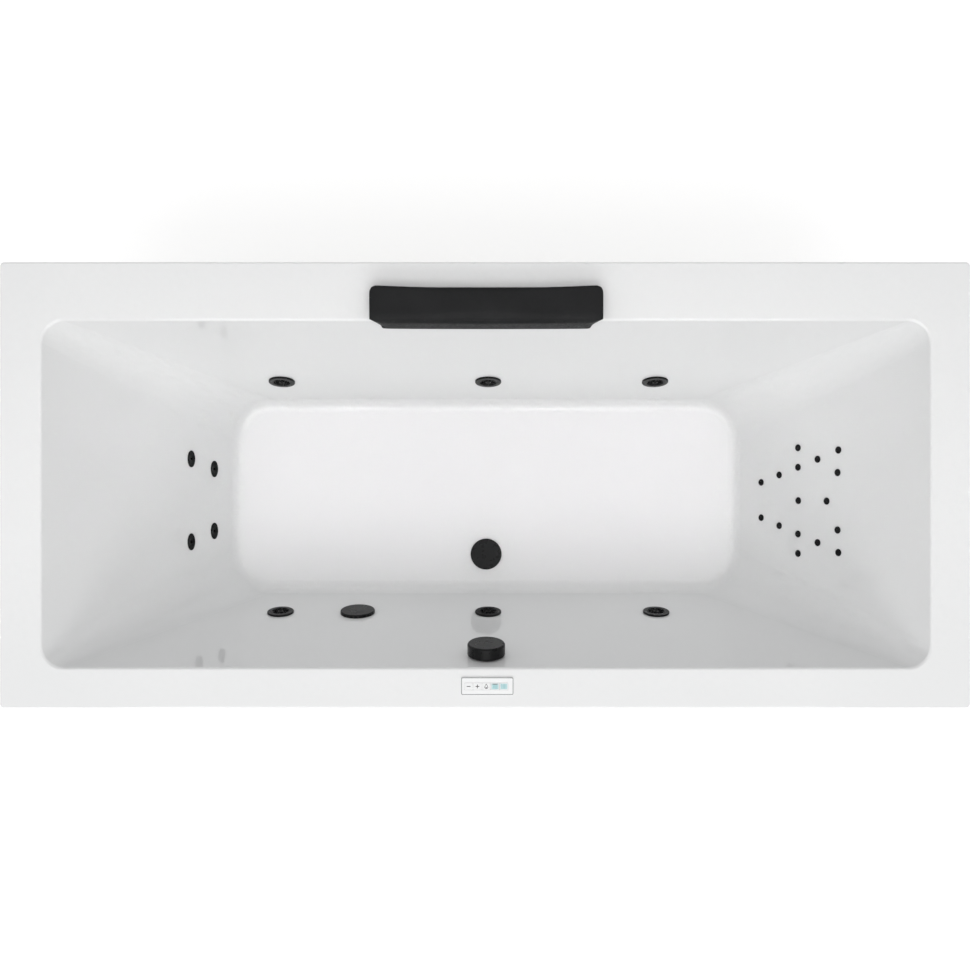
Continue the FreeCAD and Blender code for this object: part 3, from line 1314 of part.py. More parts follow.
def drain_body():
    """The waste body under the floor, with its overflow port, cable boss and outlet."""
    at = (DRAIN_X, DRAIN_Y)
    bottom = BOARD_TOP - DRAIN_BODY_LENGTH
    outlet_end = bottom - DRAIN_OUTLET_LENGTH
    centre = V(DRAIN_X, DRAIN_Y, DRAIN_PORT_HEIGHT)
    port_end = centre - V(0, DRAIN_PORT_REACH, 0)
    side = V(CABLE_OFFSET, 0, 0)
    inner = DRAIN_BODY_RADIUS - DRAIN_BODY_WALL
    pieces = [
        disc(DRAIN_BODY_RADIUS, bottom, BOARD_TOP, at),
        disc(DRAIN_OUTLET_RADIUS, outlet_end, bottom, at),
        rod(OVERFLOW_HOSE_RADIUS + SOCKET_WALL, centre, port_end),
        rod(CABLE_RADIUS + OVERFLOW_HOSE_WALL, centre + side, port_end + side),
    ]
    seat_start = port_end + V(0, SOCKET_DEPTH, 0)
    cuts = [
        disc(inner, bottom + DRAIN_BODY_WALL, BOARD_TOP, at),
        disc(DRAIN_OUTLET_RADIUS - DRAIN_OUTLET_WALL, outlet_end, BOARD_TOP, at),
        rod(OVERFLOW_HOSE_RADIUS - OVERFLOW_HOSE_WALL, centre, port_end),
        rod(OVERFLOW_HOSE_RADIUS + SOCKET_CLEARANCE, seat_start, port_end),
    ]
    return joined(pieces).cut(cuts)


def drain_trap():
    """The round trap under the waste, with its dip tube and its outlet spigot and stop collar."""
    at = (DRAIN_X, DRAIN_Y)
    top = TRAP_TOP
    bottom = top - TRAP_HEIGHT
    outlet = V(DRAIN_X, DRAIN_Y, top - TRAP_OUTLET_DROP)
    outlet_end = outlet + V(0, TRAP_RADIUS + TRAP_OUTLET_LENGTH, 0)
    cup = disc(TRAP_RADIUS, bottom, top, at)
    cup = cup.makeFillet(2 * TRAP_WALL, edges_where(cup, lambda b: b.ZMax < bottom + 0.01))
    spigot = rod(DRAIN_OUTLET_RADIUS, outlet, outlet_end)
    collar = rod(TRAP_COLLAR_RADIUS, outlet, outlet + V(0, TRAP_RADIUS + TRAP_COLLAR_LENGTH, 0))
    room = disc(TRAP_RADIUS - TRAP_WALL, bottom + TRAP_WALL, top - TRAP_WALL, at)
    bore = rod(DRAIN_OUTLET_RADIUS - DRAIN_OUTLET_WALL, outlet, outlet_end)
    shell = joined([cup, spigot, collar]).cut([room, bore])
    inner = DRAIN_OUTLET_RADIUS - DRAIN_OUTLET_WALL
    dip = disc(DRAIN_OUTLET_RADIUS, bottom + TRAP_HEIGHT / 3, top, at)
    return joined([shell, dip]).cut(disc(inner, bottom + TRAP_HEIGHT / 3, top, at))


# ---- overflow ----
def overflow_drop():
    """The axis of the overflow's downward outlet: its top and its mouth."""
    depth = SHELL_THICKNESS + BACK_FLANGE_THICKNESS + OVERFLOW_CHAMBER_LENGTH / 2
    top = overflow_frame().multVec(V(0, 0, -depth))
    return top, top - UP * (OVERFLOW_CHAMBER_RADIUS + 1.5 * SOCKET_DEPTH)


def overflow_body():
    """The overflow behind the wall, with the knob's bearing, its outlet and the cable's boss."""
    frame = overflow_frame()
    back = -SHELL_THICKNESS
    flange_back = back - BACK_FLANGE_THICKNESS
    end = flange_back - OVERFLOW_CHAMBER_LENGTH
    wall = SOCKET_WALL
    top, mouth = overflow_drop()
    side = V(CABLE_OFFSET, 0, 0)
    outer = [
        disc(OVERFLOW_NECK_RADIUS, flange_back, CLAMP_THICKNESS),
        disc(OVERFLOW_NECK_RADIUS + BACK_FLANGE_LAND, flange_back, back),
        disc(OVERFLOW_CHAMBER_RADIUS, end, flange_back),
    ]
    hollow = revolved([
        (0, end + wall),
        (OVERFLOW_CHAMBER_RADIUS - wall, end + wall),
        (OVERFLOW_CHAMBER_RADIUS - wall, flange_back - wall),
        (OVERFLOW_NECK_BORE, flange_back - wall),
        (OVERFLOW_NECK_BORE, CLAMP_THICKNESS),
        (0, CLAMP_THICKNESS),
    ])
    outlet = rod(OVERFLOW_HOSE_RADIUS + wall, top, mouth)
    boss = rod(CABLE_RADIUS + OVERFLOW_HOSE_WALL, top + side, mouth + side)
    body = joined([on_wall(piece, frame) for piece in outer] + [outlet, boss])
    seat = rod(OVERFLOW_HOSE_RADIUS + SOCKET_CLEARANCE, mouth + UP * SOCKET_DEPTH, mouth)
    outlet_bore = rod(OVERFLOW_HOSE_RADIUS - OVERFLOW_HOSE_WALL, top, mouth)
    body = body.cut([on_wall(hollow, frame), outlet_bore, seat])
    bearing = disc(2 * OVERFLOW_SPINDLE_RADIUS, flange_back, back / 2)
    arms = []
    for i in range(3):
        arm = box((0, -wall / 2, flange_back), (OVERFLOW_NECK_BORE + wall / 2, wall / 2, back / 2))
        arm.rotate(V(0, 0, 0), UP, i * 120)
        arms.append(arm)
    spider = joined([bearing] + arms)
    spider = spider.cut(disc(OVERFLOW_SPINDLE_RADIUS + BEARING_CLEARANCE, flange_back, back / 2))
    return joined([body, on_wall(spider, frame)])


def overflow_knob():
    """The round knob over the overflow, with the spindle that pulls the cable."""
    low = KNOB_GAP
    high = low + KNOB_HEIGHT
    corner = KNOB_EDGE_RADIUS * (1 - math.sqrt(0.5))
    spindle_end = -SHELL_THICKNESS - BACK_FLANGE_THICKNESS - OVERFLOW_CHAMBER_LENGTH / 2
    knob = revolved([
        (0, spindle_end),
        (OVERFLOW_SPINDLE_RADIUS, spindle_end),
        (OVERFLOW_SPINDLE_RADIUS, high - KNOB_WALL),
        (KNOB_RADIUS - KNOB_WALL, high - KNOB_WALL),
        (KNOB_RADIUS - KNOB_WALL, low),
        (KNOB_RADIUS - KNOB_BACK_CHAMFER, low),
        (KNOB_RADIUS, low + KNOB_BACK_CHAMFER),
        (KNOB_RADIUS, high - KNOB_EDGE_RADIUS),
        ((KNOB_RADIUS - corner, high - corner), (KNOB_RADIUS - KNOB_EDGE_RADIUS, high)),
        (0, high),
    ])
    return on_wall(knob, overflow_frame())


def overflow_hose():
    """The hose from the overflow down to the waste."""
    top, mouth = overflow_drop()
    port = V(DRAIN_X, DRAIN_Y - DRAIN_PORT_REACH, DRAIN_PORT_HEIGHT)
    inset = SOCKET_DEPTH - PIPE_END_GAP
    return pipe([
        mouth + UP * inset,
        V(mouth.x, mouth.y, port.z),
        port + V(0, inset, 0),
    ], OVERFLOW_HOSE_RADIUS, OVERFLOW_HOSE_WALL, HOSE_BEND_RADIUS)


def plug_cable():
    """The sheathed cable from the knob's spindle down to the plug's lifter."""
    top, mouth = overflow_drop()
    port = V(DRAIN_X, DRAIN_Y - DRAIN_PORT_REACH, DRAIN_PORT_HEIGHT)
    side = V(CABLE_OFFSET, 0, 0)
    path = bent_path([mouth + side, V(mouth.x, mouth.y, port.z) + side, port + side], HOSE_BEND_RADIUS)
    return swept(path, CABLE_RADIUS)


# ---- keypad and control box ----
def keypad_housing_block(clearance, floor=0.0, ceiling=0.0):
    """The block of the keypad's housing, moved out all round or left thick below and above."""
    half_length = KEYPAD_LENGTH / 2 - KEYPAD_HOUSING_MARGIN + clearance
    half_width = KEYPAD_WIDTH / 2 - KEYPAD_HOUSING_MARGIN + clearance
    return box(
        (KEYPAD_X - half_length, KEYPAD_Y - half_width, RIM_HEIGHT - KEYPAD_HOUSING_DEPTH + floor),
        (KEYPAD_X + half_length, KEYPAD_Y + half_width, RIM_HEIGHT - ceiling),
    )


def button_places():
    """The middle of each button in the row."""
    first = -(len(BUTTON_NAMES) - 1) / 2
    return {
        name: (KEYPAD_X + BUTTON_ROW_SHIFT[0] + (first + i) * BUTTON_PITCH, KEYPAD_Y + BUTTON_ROW_SHIFT[1])
        for i, name in enumerate(BUTTON_NAMES)
    }


def button(name):
    """One key of the keypad."""
    x, y = button_places()[name]
    half_length = BUTTON_LENGTH / 2
    half_width = BUTTON_WIDTH / 2
    low = (x - half_length, y - half_width)
    high = (x + half_length, y + half_width)
    top = RIM_HEIGHT + KEYPAD_HEIGHT + BUTTON_PROUD
    return plate(low, high, BUTTON_CORNER_RADIUS, top - BUTTON_HEIGHT, top)


def keypad_body():
    """The keypad's plate with one window for its keys, and the housing below the deck."""
    half_length = KEYPAD_LENGTH / 2
    half_width = KEYPAD_WIDTH / 2
    face = plate(
        (KEYPAD_X - half_length, KEYPAD_Y - half_width),
        (KEYPAD_X + half_length, KEYPAD_Y + half_width),
        KEYPAD_CORNER_RADIUS,
        RIM_HEIGHT,
        RIM_HEIGHT + KEYPAD_HEIGHT,
    )
    row = list(button_places().values())
    reach = (BUTTON_LENGTH / 2 + BUTTON_CLEARANCE, BUTTON_WIDTH / 2 + BUTTON_CLEARANCE)
    window = plate(
        (row[0][0] - reach[0], row[0][1] - reach[1]),
        (row[-1][0] + reach[0], row[-1][1] + reach[1]),
        BUTTON_CORNER_RADIUS + BUTTON_CLEARANCE,
        RIM_HEIGHT - BUTTON_TRAVEL - BUTTON_PROUD,
        RIM_HEIGHT + KEYPAD_HEIGHT,
    )
    housing = keypad_housing_block(0.0)
    room = keypad_housing_block(-KEYPAD_HOUSING_WALL, KEYPAD_HOUSING_WALL, 3 * KEYPAD_HOUSING_WALL)
    return joined([face, housing]).cut([window, room])


def control_box():
    """The control box on the right front upright, with two cable glands below."""
    post_face = -POST_Y + POST_SIZE / 2
    x = CROSSBAR_SPACING / 2
    low = V(x - CONTROL_BOX_LENGTH / 2, post_face, CONTROL_BOX_BASE)
    high = low + V(CONTROL_BOX_LENGTH, CONTROL_BOX_DEPTH, CONTROL_BOX_HEIGHT)
    case = box(low, high)
    case = case.makeFillet(CONTROL_BOX_EDGE_RADIUS, edges_where(case, lambda b: b.YMin > low.y + 1))
    wall = V(CONTROL_BOX_WALL, CONTROL_BOX_WALL, CONTROL_BOX_WALL)
    room = box(low + wall, high - wall)
    gland_top = V(0, 0, CONTROL_BOX_BASE + CONTROL_BOX_WALL)
    glands = []
    bores = []
    for side in (-1, 1):
        at = V(x + side * GLAND_OFFSET, low.y + CONTROL_BOX_DEPTH / 2, 0) + gland_top
        end = at - UP * (GLAND_LENGTH + CONTROL_BOX_WALL)
        glands.append(rod(GLAND_RADIUS, at, end))
        bores.append(rod(GLAND_BORE, at, end))
    return joined([case.cut(room)] + glands).cut(bores)


# ---- headrest ----
def headrest_cushion():
    """The moulded headrest: a block on the deck with a lip over the basin's rear edge."""
    deck = RIM_HEIGHT + HEADREST_CLEARANCE
    top = RIM_HEIGHT + HEADREST_HEIGHT
    bottom = RIM_HEIGHT - HEADREST_LIP_DEPTH
    wall = [wall_place("rear", height, -HEADREST_CLEARANCE) for height in (bottom, deck)]
    half = HEADREST_LENGTH / 2
    lip_y = HEADREST_FRONT_Y - HEADREST_LIP_LEAN
    profile = outline([
        (HEADREST_BACK_Y, deck),
        (HEADREST_BACK_Y, top),
        (HEADREST_FRONT_Y, top),
        (lip_y, bottom),
        (wall[0], bottom),
        (wall[1], deck),
    ], lambda p: V(HEADREST_X - half, p[0], p[1]))
    cushion = Part.Face(profile).extrude(V(HEADREST_LENGTH, 0, 0))
    back_corners = edges_where(
        cushion,
        lambda b: b.ZLength > HEADREST_HEIGHT / 2 and b.YMin > HEADREST_BACK_Y - 1,
    )
    cushion = cushion.makeFillet(HEADREST_CORNER_RADIUS, back_corners)
    for side in (-1, 1):
        upper = V(HEADREST_X + side * half, HEADREST_FRONT_Y, top)
        lower = V(HEADREST_X + side * (half - HEADREST_END_TAPER), lip_y, bottom)
        rear = V(HEADREST_X + side * half, wall[1] + HEADREST_END_TAPER, deck)
        across = (lower - upper).cross(rear - upper).normalize()
        if across.x * side < 0:
            across = across * -1
        corner_cut = Part.makePlane(2 * half, 2 * half, upper, across)
        corner_cut.translate(upper - corner_cut.BoundBox.Center)
        cushion = cushion.cut(corner_cut.extrude(across * half))
    top_edges = edges_where(cushion, lambda b: b.ZMin > top - 0.01)
    return cushion.makeFillet(HEADREST_EDGE_RADIUS, top_edges)


# ---- the nodes ----
def nodes():
    """Every sub-part by the name of its node."""
    parts = {
        "tub_shell": tub_shell(),
        "base_board": base_board(),
        "frame_rail_front": frame_rail(-1),
        "frame_rail_rear": frame_rail(1),
        "frame_crossbar_left": frame_crossbar(-1),
        "frame_crossbar_right": frame_crossbar(1),
        "rim_posts": rim_posts(),
        "foot_nuts": foot_nuts(),
        "front_clamp_rings": front_clamp_rings(),
        "side_jet_bodies": group([on_wall(side_jet_body(), frame) for frame in side_jet_frames().values()]),
        "back_jets": group([on_wall(back_jet(), frame) for frame in back_jet_frames()]),
        "back_jet_chamber": back_jet_chamber(),
        "micro_jets": group([on_wall(micro_jet(), frame) for frame in micro_jet_frames()]),
        "micro_jet_chamber": micro_jet_chamber(),
        "suction_body": suction_body(),
        "suction_cover": suction_cover(),
        "suction_pipe": suction_pipe(),
        "water_pipework": water_pipework(),
        "air_pipework": air_pipework(),
        "pump_foot": pump_foot(),
        "pump_volute": pump_volute(),
        "pump_motor_casing": pump_motor_casing(),
        "pump_shaft": pump_shaft(),
        "pump_impeller": pump_impeller(),
        "pump_cooling_fan": pump_cooling_fan(),
        "pump_fan_cover": pump_fan_cover(),
        "blower_housing": blower_housing(),
        "blower_fan": blower_fan(),
        "drain_flange": drain_flange(),
        "drain_plug": drain_plug(),
        "drain_body": drain_body(),
        "drain_trap": drain_trap(),
        "overflow_body": overflow_body(),
        "overflow_knob": overflow_knob(),
        "overflow_hose": overflow_hose(),
        "plug_cable": plug_cable(),
        "keypad_body": keypad_body(),
        "control_box": control_box(),
        "headrest_cushion": headrest_cushion(),
    }
    for name, frame in side_jet_frames().items():
        parts["side_jet_ring_" + name] = on_wall(jet_ring(), frame)
        parts["side_jet_nozzle_" + name] = on_wall(jet_nozzle(), frame)
    for name, place in foot_places().items():
        parts["levelling_foot_" + name] = levelling_foot(place)
    for name in BUTTON_NAMES:
        parts["button_" + name] = button(name)
    return parts


def main():
    os.makedirs("parts", exist_ok=True)
    for name, shape in nodes().items():
        shape.exportStep(os.path.join("parts", name + ".step"))


if __name__ == "__main__":
    main()
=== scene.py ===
"""Looks of the jetted bathtub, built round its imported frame. Metres, +Z up."""

import json
import math

import bmesh
import bpy
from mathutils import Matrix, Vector

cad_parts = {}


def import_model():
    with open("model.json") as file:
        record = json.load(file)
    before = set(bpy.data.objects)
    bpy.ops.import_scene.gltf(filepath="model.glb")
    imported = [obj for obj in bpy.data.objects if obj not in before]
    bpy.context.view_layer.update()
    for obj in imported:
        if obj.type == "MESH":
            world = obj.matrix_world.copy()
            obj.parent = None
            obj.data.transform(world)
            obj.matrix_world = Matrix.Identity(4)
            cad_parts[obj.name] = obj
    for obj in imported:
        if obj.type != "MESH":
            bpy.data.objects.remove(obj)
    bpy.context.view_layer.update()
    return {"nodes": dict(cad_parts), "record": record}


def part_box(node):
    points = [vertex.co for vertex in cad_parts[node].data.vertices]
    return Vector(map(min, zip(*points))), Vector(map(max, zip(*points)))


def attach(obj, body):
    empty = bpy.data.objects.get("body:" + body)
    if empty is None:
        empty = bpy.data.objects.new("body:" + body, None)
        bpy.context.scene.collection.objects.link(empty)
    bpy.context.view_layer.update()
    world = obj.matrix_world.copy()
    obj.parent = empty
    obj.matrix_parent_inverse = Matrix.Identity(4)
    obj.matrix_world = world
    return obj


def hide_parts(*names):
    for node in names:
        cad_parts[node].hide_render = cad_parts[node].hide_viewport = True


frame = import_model()
NODES = frame["nodes"]

# ---- the bath's measures that the materials and pieces need ----
RIM_Z = 0.62
FLOOR_Z = 0.17
SHELL = 0.008
BASIN_DEPTH = RIM_Z - FLOOR_Z
# axis, side, the inner wall's distance at the rim, its run in towards the floor
WALL_PLANES = (
    ("x", -1, 0.8465, 0.266),
    ("x", 1, 0.850, 0.266),
    ("y", -1, 0.3485, 0.103),
    ("y", 1, 0.3135, 0.120),
)
SKIRT_INSIDE = (0.920, 0.420)
SKIRT_TOLERANCE = 0.002
BUTTONS = ("minus", "plus", "clean", "air", "water")


# ---- node trees ----
class Tree:
    """A material's node tree with short ways to add nodes to it."""

    def __init__(self, name):
        self.material = bpy.data.materials.new(name)
        self.material.use_nodes = True
        self.tree = self.material.node_tree
        self.tree.nodes.clear()
        out = self.tree.nodes.new("ShaderNodeOutputMaterial")
        self.shader = self.tree.nodes.new("ShaderNodeBsdfPrincipled")
        self.link(self.shader.outputs[0], out.inputs[0])
        coords = self.tree.nodes.new("ShaderNodeTexCoord")
        self.coords = coords.outputs["Object"]

    def link(self, source, target):
        self.tree.links.new(source, target)

    def feed(self, socket, value):
        """A socket takes another socket's value or a plain one."""
        if isinstance(value, bpy.types.NodeSocket):
            self.link(value, socket)
        elif isinstance(value, (tuple, list)) and len(value) == 3 and socket.type == "RGBA":
            socket.default_value = (*value, 1.0)
        else:
            socket.default_value = value

    def node(self, kind, inputs=None, **settings):
        made = self.tree.nodes.new(kind)
        for key, value in settings.items():
            setattr(made, key, value)
        for key, value in (inputs or {}).items():
            self.feed(made.inputs[key], value)
        return made

    def set(self, **values):
        """Sets the shader's sockets; an underscore stands for a space."""
        for key, value in values.items():
            self.feed(self.shader.inputs[key.replace("_", " ")], value)

    def math(self, operation, *values):
        made = self.tree.nodes.new("ShaderNodeMath")
        made.operation = operation
        for socket, value in zip(made.inputs, values):
            self.feed(socket, value)
        return made.outputs[0]

    def noise(self, scale, detail=3.0, roughness=0.5, coords=None, distortion=0.0):
        made = self.node("ShaderNodeTexNoise", {
            "Vector": coords or self.coords,
            "Scale": scale,
            "Detail": detail,
            "Roughness": roughness,
            "Distortion": distortion,
        })
        return made.outputs[0]

    def cells(self, scale, feature="F1", output="Distance", coords=None):
        made = self.node(
            "ShaderNodeTexVoronoi",
            {"Vector": coords or self.coords, "Scale": scale, "Randomness": 1.0},
            feature=feature,
        )
        return made.outputs[output]

    def stretched(self, scale):
        return self.node("ShaderNodeMapping", {"Vector": self.coords, "Scale": scale}).outputs[0]

    def span(self, value, low, high, to_low=0.0, to_high=1.0):
        made = self.node("ShaderNodeMapRange", {
            "Value": value,
            "From Min": low,
            "From Max": high,
            "To Min": to_low,
            "To Max": to_high,
        })
        return made.outputs[0]

    def mix(self, share, first, second):
        made = self.node("ShaderNodeMix", data_type="RGBA")
        self.feed(made.inputs[0], share)
        self.feed(made.inputs[6], first)
        self.feed(made.inputs[7], second)
        return made.outputs[2]

    def bump(self, height, distance, strength=1.0, normal=None):
        made = self.node("ShaderNodeBump", {"Height": height, "Strength": strength, "Distance": distance})
        if normal is not None:
            self.link(normal, made.inputs["Normal"])
        return made.outputs[0]

    def soft_edges(self, radius):
        """Edges that catch the light as moulded or rolled ones do."""
        return self.node("ShaderNodeBevel", {"Radius": radius}, samples=4).outputs[0]


# ---- materials ----
def behind_shell(t):
    """1 on the laminate's hidden side, 0 on the acrylic that shows in the room."""
    split = t.node("ShaderNodeSeparateXYZ", {"Vector": t.coords})
    depth = t.math("SUBTRACT", RIM_Z, split.outputs["Z"])
    reach = None
    for axis, side, rim, run in WALL_PLANES:
        along = t.math("MULTIPLY", split.outputs[axis.upper()], side)
        wall = t.math("MULTIPLY_ADD", depth, -run / BASIN_DEPTH, rim)
        out = t.math("SUBTRACT", along, wall)
        reach = out if reach is None else t.math("MAXIMUM", reach, out)
    beyond = t.math("GREATER_THAN", reach, SHELL / 2)
    below = t.math("LESS_THAN", split.outputs["Z"], FLOOR_Z - SHELL / 2)
    hidden = t.math("MAXIMUM", beyond, below)
    hidden = t.math("MULTIPLY", hidden, t.math("LESS_THAN", split.outputs["Z"], RIM_Z - SHELL / 2))
    for axis, inside in zip("XY", SKIRT_INSIDE):
        level = t.math("ABSOLUTE", split.outputs[axis])
        hidden = t.math("MULTIPLY", hidden, t.math("LESS_THAN", level, inside + SKIRT_TOLERANCE))
    return hidden


def acrylic():
    """Glossy white sanitary acrylic, with glass-fibre resin on its back."""
    t = Tree("acrylic_white")
    hidden = behind_shell(t)
    cloud = t.noise(3.0, 2.0)
    white = t.mix(t.span(cloud, 0.3, 0.7), (0.825, 0.83, 0.832), (0.84, 0.843, 0.845))
    strands = t.noise(55.0, 6.0, 0.7, t.stretched((1.0, 3.5, 2.0)), 1.5)
    cross = t.noise(60.0, 6.0, 0.7, t.stretched((3.5, 1.0, 2.0)), 1.5)
    fibre = t.math("MAXIMUM", strands, cross)
    resin = t.mix(t.span(fibre, 0.45, 0.75), (0.50, 0.49, 0.43), (0.74, 0.73, 0.67))
    polish = t.span(t.noise(14.0, 4.0), 0.3, 0.7, 0.035, 0.06)
    rough = t.span(fibre, 0.4, 0.7, 0.75, 0.5)
    t.set(
        Base_Color=t.mix(hidden, white, resin),
        Roughness=t.math("ADD", t.math("MULTIPLY", hidden, rough),
                         t.math("MULTIPLY", t.math("SUBTRACT", 1.0, hidden), polish)),
    )
    ripple = t.bump(t.noise(9.0, 1.0), 0.0004, 0.25)
    weave = t.bump(t.math("MULTIPLY", fibre, hidden), 0.0016, 1.0, ripple)
    t.set(Normal=weave, IOR=1.49, Specular_IOR_Level=0.72)
    return t.material


def moulded(name, low, high, rough, grain=900.0, depth=0.00004, edge=0.0006, coat=0.0, shine=0.5):
    """Injection-moulded plastic: slight colour drift, fine grain, softened edges."""
    t = Tree(name)
    t.set(Base_Color=t.mix(t.span(t.noise(18.0, 3.0), 0.3, 0.7), low, high))
    t.set(Roughness=t.span(t.noise(70.0, 4.0), 0.3, 0.7, rough[0], rough[1]))
    t.set(Normal=t.bump(t.noise(grain, 2.0), depth, 0.6, t.soft_edges(edge)))
    t.set(IOR=1.5, Specular_IOR_Level=shine)
    if coat:
        t.set(Coat_Weight=coat, Coat_Roughness=0.08)
    return t.material


def galvanised():
    """Zinc-coated steel with its spangle."""
    t = Tree("frame_steel")
    spangle = t.cells(90.0, output="Color")
    tone = t.node("ShaderNodeSeparateColor", {"Color": spangle}).outputs[0]
    cloud = t.noise(25.0, 4.0)
    base = t.mix(t.span(tone, 0.0, 1.0), (0.44, 0.455, 0.47), (0.60, 0.61, 0.62))
    t.set(Base_Color=t.mix(t.span(cloud, 0.35, 0.7, 0.0, 0.4), base, (0.72, 0.73, 0.73)))
    t.set(Metallic=0.85, Roughness=t.span(tone, 0.0, 1.0, 0.34, 0.55))
    t.set(Normal=t.bump(cloud, 0.0002, 0.4, t.soft_edges(0.0012)))
    return t.material


def bright_steel():
    """Zinc-plated turned steel."""
    t = Tree("zinc_steel")
    turned = t.noise(420.0, 3.0, 0.6, t.stretched((0.15, 0.15, 3.0)))
    t.set(Base_Color=t.mix(t.span(t.noise(40.0, 3.0), 0.3, 0.7), (0.58, 0.57, 0.54), (0.68, 0.67, 0.63)))
    t.set(Metallic=1.0, Roughness=t.span(turned, 0.3, 0.7, 0.22, 0.4))
    t.set(Normal=t.bump(turned, 0.00004, 0.5, t.soft_edges(0.0005)))
    return t.material


def cast_aluminium():
    """A motor's cast and painted aluminium."""
    t = Tree("motor_aluminium")
    t.set(Base_Color=t.mix(t.span(t.noise(30.0, 5.0), 0.3, 0.7), (0.33, 0.345, 0.36), (0.41, 0.42, 0.435)))
    t.set(Metallic=0.7, Roughness=t.span(t.noise(160.0, 4.0), 0.3, 0.7, 0.4, 0.58))
    t.set(Normal=t.bump(t.noise(600.0, 4.0), 0.0001, 0.7, t.soft_edges(0.0008)))
    return t.material


def chipboard():
    """Pressed wood chips under a thin coat of resin."""
    t = Tree("board")
    flat = t.stretched((1.0, 1.0, 3.0))
    chips = t.cells(170.0, output="Color", coords=flat)
    tone = t.node("ShaderNodeSeparateColor", {"Color": chips}).outputs[1]
    dust = t.noise(420.0, 4.0)
    wood = t.mix(tone, (0.36, 0.24, 0.13), (0.66, 0.50, 0.31))
    t.set(Base_Color=t.mix(t.span(dust, 0.4, 0.65, 0.0, 0.55), wood, (0.52, 0.40, 0.26)))
    t.set(Roughness=t.span(dust, 0.3, 0.7, 0.5, 0.75))
    t.set(Normal=t.bump(t.math("ADD", tone, dust), 0.0004, 0.5, t.soft_edges(0.0008)))
    return t.material


def hose_plastic():
    """Grey flexible tube with its wound ribs."""
    t = Tree("pipe_clear_grey")
    t.set(Base_Color=t.mix(t.span(t.noise(22.0, 3.0), 0.3, 0.7), (0.47, 0.49, 0.50), (0.56, 0.575, 0.58)))
    t.set(Roughness=t.span(t.noise(90.0, 3.0), 0.3, 0.7, 0.28, 0.42))
    t.set(Normal=t.bump(t.noise(300.0, 2.0), 0.00006, 0.5, t.soft_edges(0.0006)))
    t.set(IOR=1.5)
    return t.material


def soft_skin():
    """The closed, finely grained skin of a moulded foam cushion."""
    t = Tree("headrest_skin")
    pores = t.cells(1400.0, feature="DISTANCE_TO_EDGE")
    creases = t.span(pores, 0.0, 0.12)
    broad = t.noise(11.0, 4.0)
    t.set(Base_Color=t.mix(t.span(broad, 0.3, 0.7), (0.011, 0.0113, 0.012), (0.015, 0.0154, 0.0163)))
    t.set(Roughness=t.span(t.noise(220.0, 4.0), 0.3, 0.7, 0.46, 0.62))
    fine = t.bump(creases, 0.00008, 0.6)
    t.set(Normal=t.bump(t.noise(26.0, 3.0), 0.0008, 0.25, fine))
    t.set(IOR=1.45, Specular_IOR_Level=0.2)
    return t.material


def print_and_shade_paint(name, colour, rough=0.35):
    """Screen-printed ink on the keypad, and flat grey paint for the painted shade along its raised edge.
    """
    t = Tree(name)
    lighter = tuple(min(1.0, c * 1.12 + 0.004) for c in colour)
    t.set(Base_Color=t.mix(t.span(t.noise(900.0, 3.0), 0.35, 0.65), colour, lighter))
    t.set(Roughness=t.span(t.noise(500.0, 2.0), 0.3, 0.7, rough, rough + 0.12))
    return t.material


MATERIALS = {
    "acrylic_white": acrylic(),
    "fitting_black": moulded(
        "fitting_black", (0.006, 0.0062, 0.0066), (0.009, 0.0092, 0.0098), (0.24, 0.36),
        grain=700.0, depth=0.00003, edge=0.0008, shine=0.16,
    ),
    "pipe_white": moulded("pipe_white", (0.70, 0.70, 0.67), (0.77, 0.77, 0.745), (0.3, 0.45)),
    "pipe_clear_grey": hose_plastic(),
    "frame_steel": galvanised(),
    "zinc_steel": bright_steel(),
    "board": chipboard(),
    "motor_aluminium": cast_aluminium(),
    "machine_black": moulded(
        "machine_black", (0.028, 0.029, 0.031), (0.04, 0.041, 0.043), (0.42, 0.58),
        grain=1100.0, depth=0.00008,
    ),
    "keypad_white": moulded(
        "keypad_white", (0.88, 0.885, 0.89), (0.91, 0.915, 0.92), (0.12, 0.2),
        grain=1200.0, depth=0.00001, edge=0.0004, coat=0.4,
    ),
    "box_grey": moulded(
        "box_grey", (0.52, 0.53, 0.54), (0.58, 0.59, 0.60), (0.45, 0.6),
        grain=1000.0, depth=0.0001, edge=0.0015,
    ),
    "headrest_skin": soft_skin(),
}
INK_AND_SHADE_PAINT = {
    "dark": print_and_shade_paint("ink_dark", (0.018, 0.019, 0.021)),
    "teal": print_and_shade_paint("ink_teal", (0.12, 0.44, 0.47)),
    "pale_teal": print_and_shade_paint("ink_pale_teal", (0.56, 0.72, 0.735)),
    # The grey line ink is painted shade, standing in for the shade along the keypad's raised edge.
    "line": print_and_shade_paint("edge_shade_paint", (0.15, 0.155, 0.16)),
}
RUBBER = moulded("foot_rubber", (0.02, 0.02, 0.021), (0.032, 0.032, 0.033), (0.6, 0.8), 800.0, 0.0002)


def dress_nodes():
    """Each carried-over solid gets its slot's material."""
    slots = {row["node"]: row["material_slot"] for row in frame["record"]["subparts"]}
    for name, node in NODES.items():
        node.data.materials.clear()
        node.data.materials.append(MATERIALS[slots[name]])


# ---- mesh helpers ----
def finish_piece(name, mesh_maker, material, body, smooth_angle=0.6):
    """Makes an object of a bmesh, shades it and fixes it to its body."""
    mesh = bpy.data.meshes.new(name)
    mesh_maker.normal_update()
    mesh_maker.to_mesh(mesh)
    mesh_maker.free()
    piece = bpy.data.objects.new(name, mesh)
    bpy.context.scene.collection.objects.link(piece)
    mesh.materials.append(material)
    for polygon in mesh.polygons:
        polygon.use_smooth = True
    mesh.set_sharp_from_angle(angle=smooth_angle)
    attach(piece, body)
    return piece


